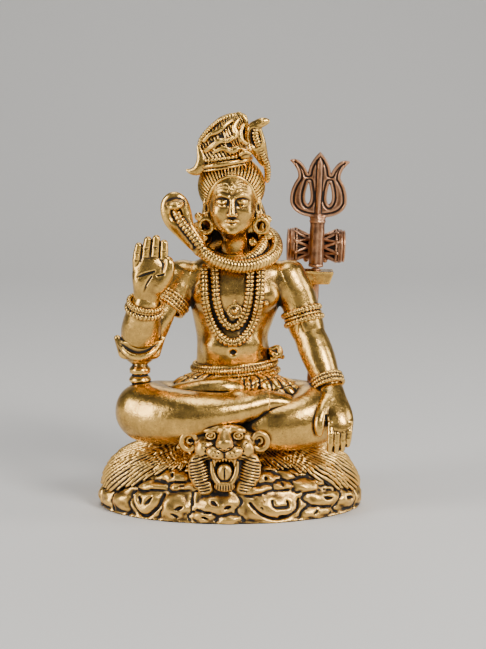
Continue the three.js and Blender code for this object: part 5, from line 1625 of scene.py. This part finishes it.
def shoulder_bracket():
    clay = Clay((14, 3.4, 62.6), (33, 15.6, 70.4), grain(0.18))
    planes = [half((0, 0, 69.3), (0.035, 0, 1)), half((0, 0, 64.4), (0, 0, -1))]
    planes += [half((25.3 + s * 5.6, 0, 69), (s, 0, -0.34)) for s in (-1, 1)]
    planes += [half((0, 9.6 + s * 4.1, 69), (0, s, -0.3)) for s in (-1, 1)]
    block = planes[0].distance

    def distance(x, y, z):
        d = block(x, y, z)
        for plane in planes[1:]:
            d = soft_max(d, plane.distance(x, y, z), 0.35)
        return d

    clay.add(Shape(distance, (19, 5, 64), (31.6, 14.2, 69.6)))
    clay.sculpt(limb([(16.2, 5.4, 66.2, 2.0), (20, 7.2, 66.4, 2.0), (23.6, 8.8, 66.8, 2.0)], 0.9))
    clay.cut(bar((25.1, 9.6, 60), (25.45, 9.6, 72), 1.58, 1.58))
    cast("shoulder_bracket_block", clay, GOLD, ["shoulder_bracket"])


for sculpt in (
    torso, upper_arms, forearms, right_hand, left_hand, right_leg, left_leg, feet, mound_pieces, tiger_head,
    head, hair_cap, back_hair, topknot, topknot_band, crescent_moon, hair_cobra, earrings, neck_cobra, waist,
    loincloth, jewellery, malas, armrest, trident_head, trident_shaft, drum, shoulder_bracket,
):
    sculpt()


# ---- painted shade shared by all the pieces ------------------------------------------------------
def paint_nook_shade(body, low, high):
    """Writes painted shade from how deep each point lies between its neighbours, by a body's whole clay on one
    coarse grid: darker in broad hollows and where pieces meet, a little lighter on open places.
    """
    step, reach, wide_cells = 0.5, 3.0, 6
    shape = np.ceil((high - low) / step).astype(int)
    whole = np.full(shape, reach, np.float32)
    mine = [row[1:] for row in PIECES if row[0] == body]
    for _, d, corner, fine, _ in mine:
        cells, picks = [], []
        for axis in range(3):
            last = d.shape[axis] - 1
            places = low[axis] + step * np.arange(shape[axis])
            index = np.rint((places - corner[axis]) / fine).astype(int)
            inside = (index >= 0) & (index <= last)
            cells.append(np.nonzero(inside)[0])
            picks.append(index[inside])
        block = np.ix_(*cells)
        whole[block] = np.minimum(whole[block], d[np.ix_(*picks)])
    wide = blur(np.clip(whole, -reach, reach), wide_cells)
    tight = blur(np.clip(whole, -1, 1), 1)
    for piece, _, _, _, points in mine:
        broad, close = sample(wide, low, step, points), sample(tight, low, step, points)
        # painted shade in the broad hollows and in the creases where pieces meet, and painted light on open
        # places
        painted_shade_and_light = np.clip((broad + WIDE_OPEN) * WIDE_PAINTED_SHADE, -DARKEST_PAINTED_SHADE, BRIGHTEST_PAINTED_LIGHT)
        painted_shade_and_light = painted_shade_and_light + np.clip((close + TIGHT_OPEN) * TIGHT_PAINTED_SHADE, -DARKEST_PAINTED_SHADE, 0)
        made = piece.data.attributes.new("painted_shade_and_light", "FLOAT", "POINT")
        made.data.foreach_set("value", painted_shade_and_light.astype(np.float32))


paint_nook_shade("statue", vec(-42, -29, -3), vec(42, 29, 119))
paint_nook_shade("trident", vec(-12, -5, -58), vec(12, 13, 38))

for name in ("figure_stud", "stud_washer", "stud_nut"):
    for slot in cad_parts[name].material_slots:
        slot.material = STUD


# ---- floor, light and camera ---------------------------------------------------------------------
def plain(name, colour, rough):
    """A matt paint with a faint mottle."""
    material = bpy.data.materials.new(name)
    material.use_nodes = True
    tree = material.node_tree
    shader = tree.nodes["Principled BSDF"]
    shader.inputs["Roughness"].default_value = rough
    mottle = tree.nodes.new("ShaderNodeTexNoise")
    mottle.inputs["Scale"].default_value = 3
    tint = tree.nodes.new("ShaderNodeMix")
    tint.data_type = "RGBA"
    for socket, share in ((6, 1.0), (7, 0.95)):  # the two colours that are mixed
        tint.inputs[socket].default_value = (*(c * share for c in colour), 1)
    tree.links.new(mottle.outputs["Fac"], tint.inputs[0])
    tree.links.new(tint.outputs[2], shader.inputs["Base Color"])
    return material


def floor():
    """A floor that sweeps up into a backdrop."""
    rows = [(-1.6, 0.0), (0.5, 0.0)]
    bend = 0.5
    rows += [(0.5 + bend * math.sin(a), bend * (1 - math.cos(a))) for a in np.linspace(0.1, math.pi / 2, 12)]
    rows += [(1.0, 2.4)]
    points = [(x, y, z) for y, z in rows for x in (-2.5, 2.5)]
    faces = [(2 * i, 2 * i + 1, 2 * i + 3, 2 * i + 2) for i in range(len(rows) - 1)]
    mesh = bpy.data.meshes.new("floor")
    mesh.from_pydata(points, [], faces)
    mesh.polygons.foreach_set("use_smooth", np.ones(len(faces), bool))
    mesh.materials.append(plain("pale_paper", (0.74, 0.73, 0.71), 0.9))
    thing = bpy.data.objects.new("floor", mesh)
    bpy.context.collection.objects.link(thing)


def area(name, place, aim, size, power, colour=(1, 1, 1)):
    data = bpy.data.lights.new(name, "AREA")
    data.shape, data.size, data.size_y, data.energy, data.color = "RECTANGLE", size[0], size[1], power, colour
    lamp = bpy.data.objects.new(name, data)
    lamp.location = place
    way = vec(*aim) - vec(*place)
    lamp.rotation_euler = Vector(way).to_track_quat("-Z", "Y").to_euler()
    bpy.context.collection.objects.link(lamp)


floor()
middle = (0, 0, 0.06)
area("key", (0.42, -0.50, 0.52), middle, (0.24, 0.24), 5.4, (1, 0.97, 0.92))
area("left", (-0.72, -0.34, 0.30), middle, (0.26, 0.60), 4.8, (1, 0.98, 0.95))
area("right", (0.74, -0.05, 0.24), middle, (0.20, 0.60), 2.8, (1, 0.98, 0.95))
area("top", (-0.05, -0.02, 0.85), middle, (0.40, 0.30), 2.0)
area("back", (0.1, 0.75, 0.6), middle, (0.7, 0.3), 1.2)
area("front", (0.0, -1.5, 0.7), middle, (1.4, 1.0), 0.7)

world = bpy.data.worlds.new("studio")
bpy.context.scene.world = world
world.use_nodes = True
background = world.node_tree.nodes["Background"]
background.inputs["Color"].default_value = (0.9, 0.93, 1, 1)
background.inputs["Strength"].default_value = 0.07

eye = bpy.data.cameras.new("camera")
eye.lens, eye.sensor_width, eye.clip_start = 105.86, 36, 0.01
camera = bpy.data.objects.new("camera", eye)
camera.location = (0.00375, -0.552, 0.143)
camera.rotation_euler = (math.radians(80.8), 0, 0)
bpy.context.collection.objects.link(camera)
bpy.context.scene.camera = camera
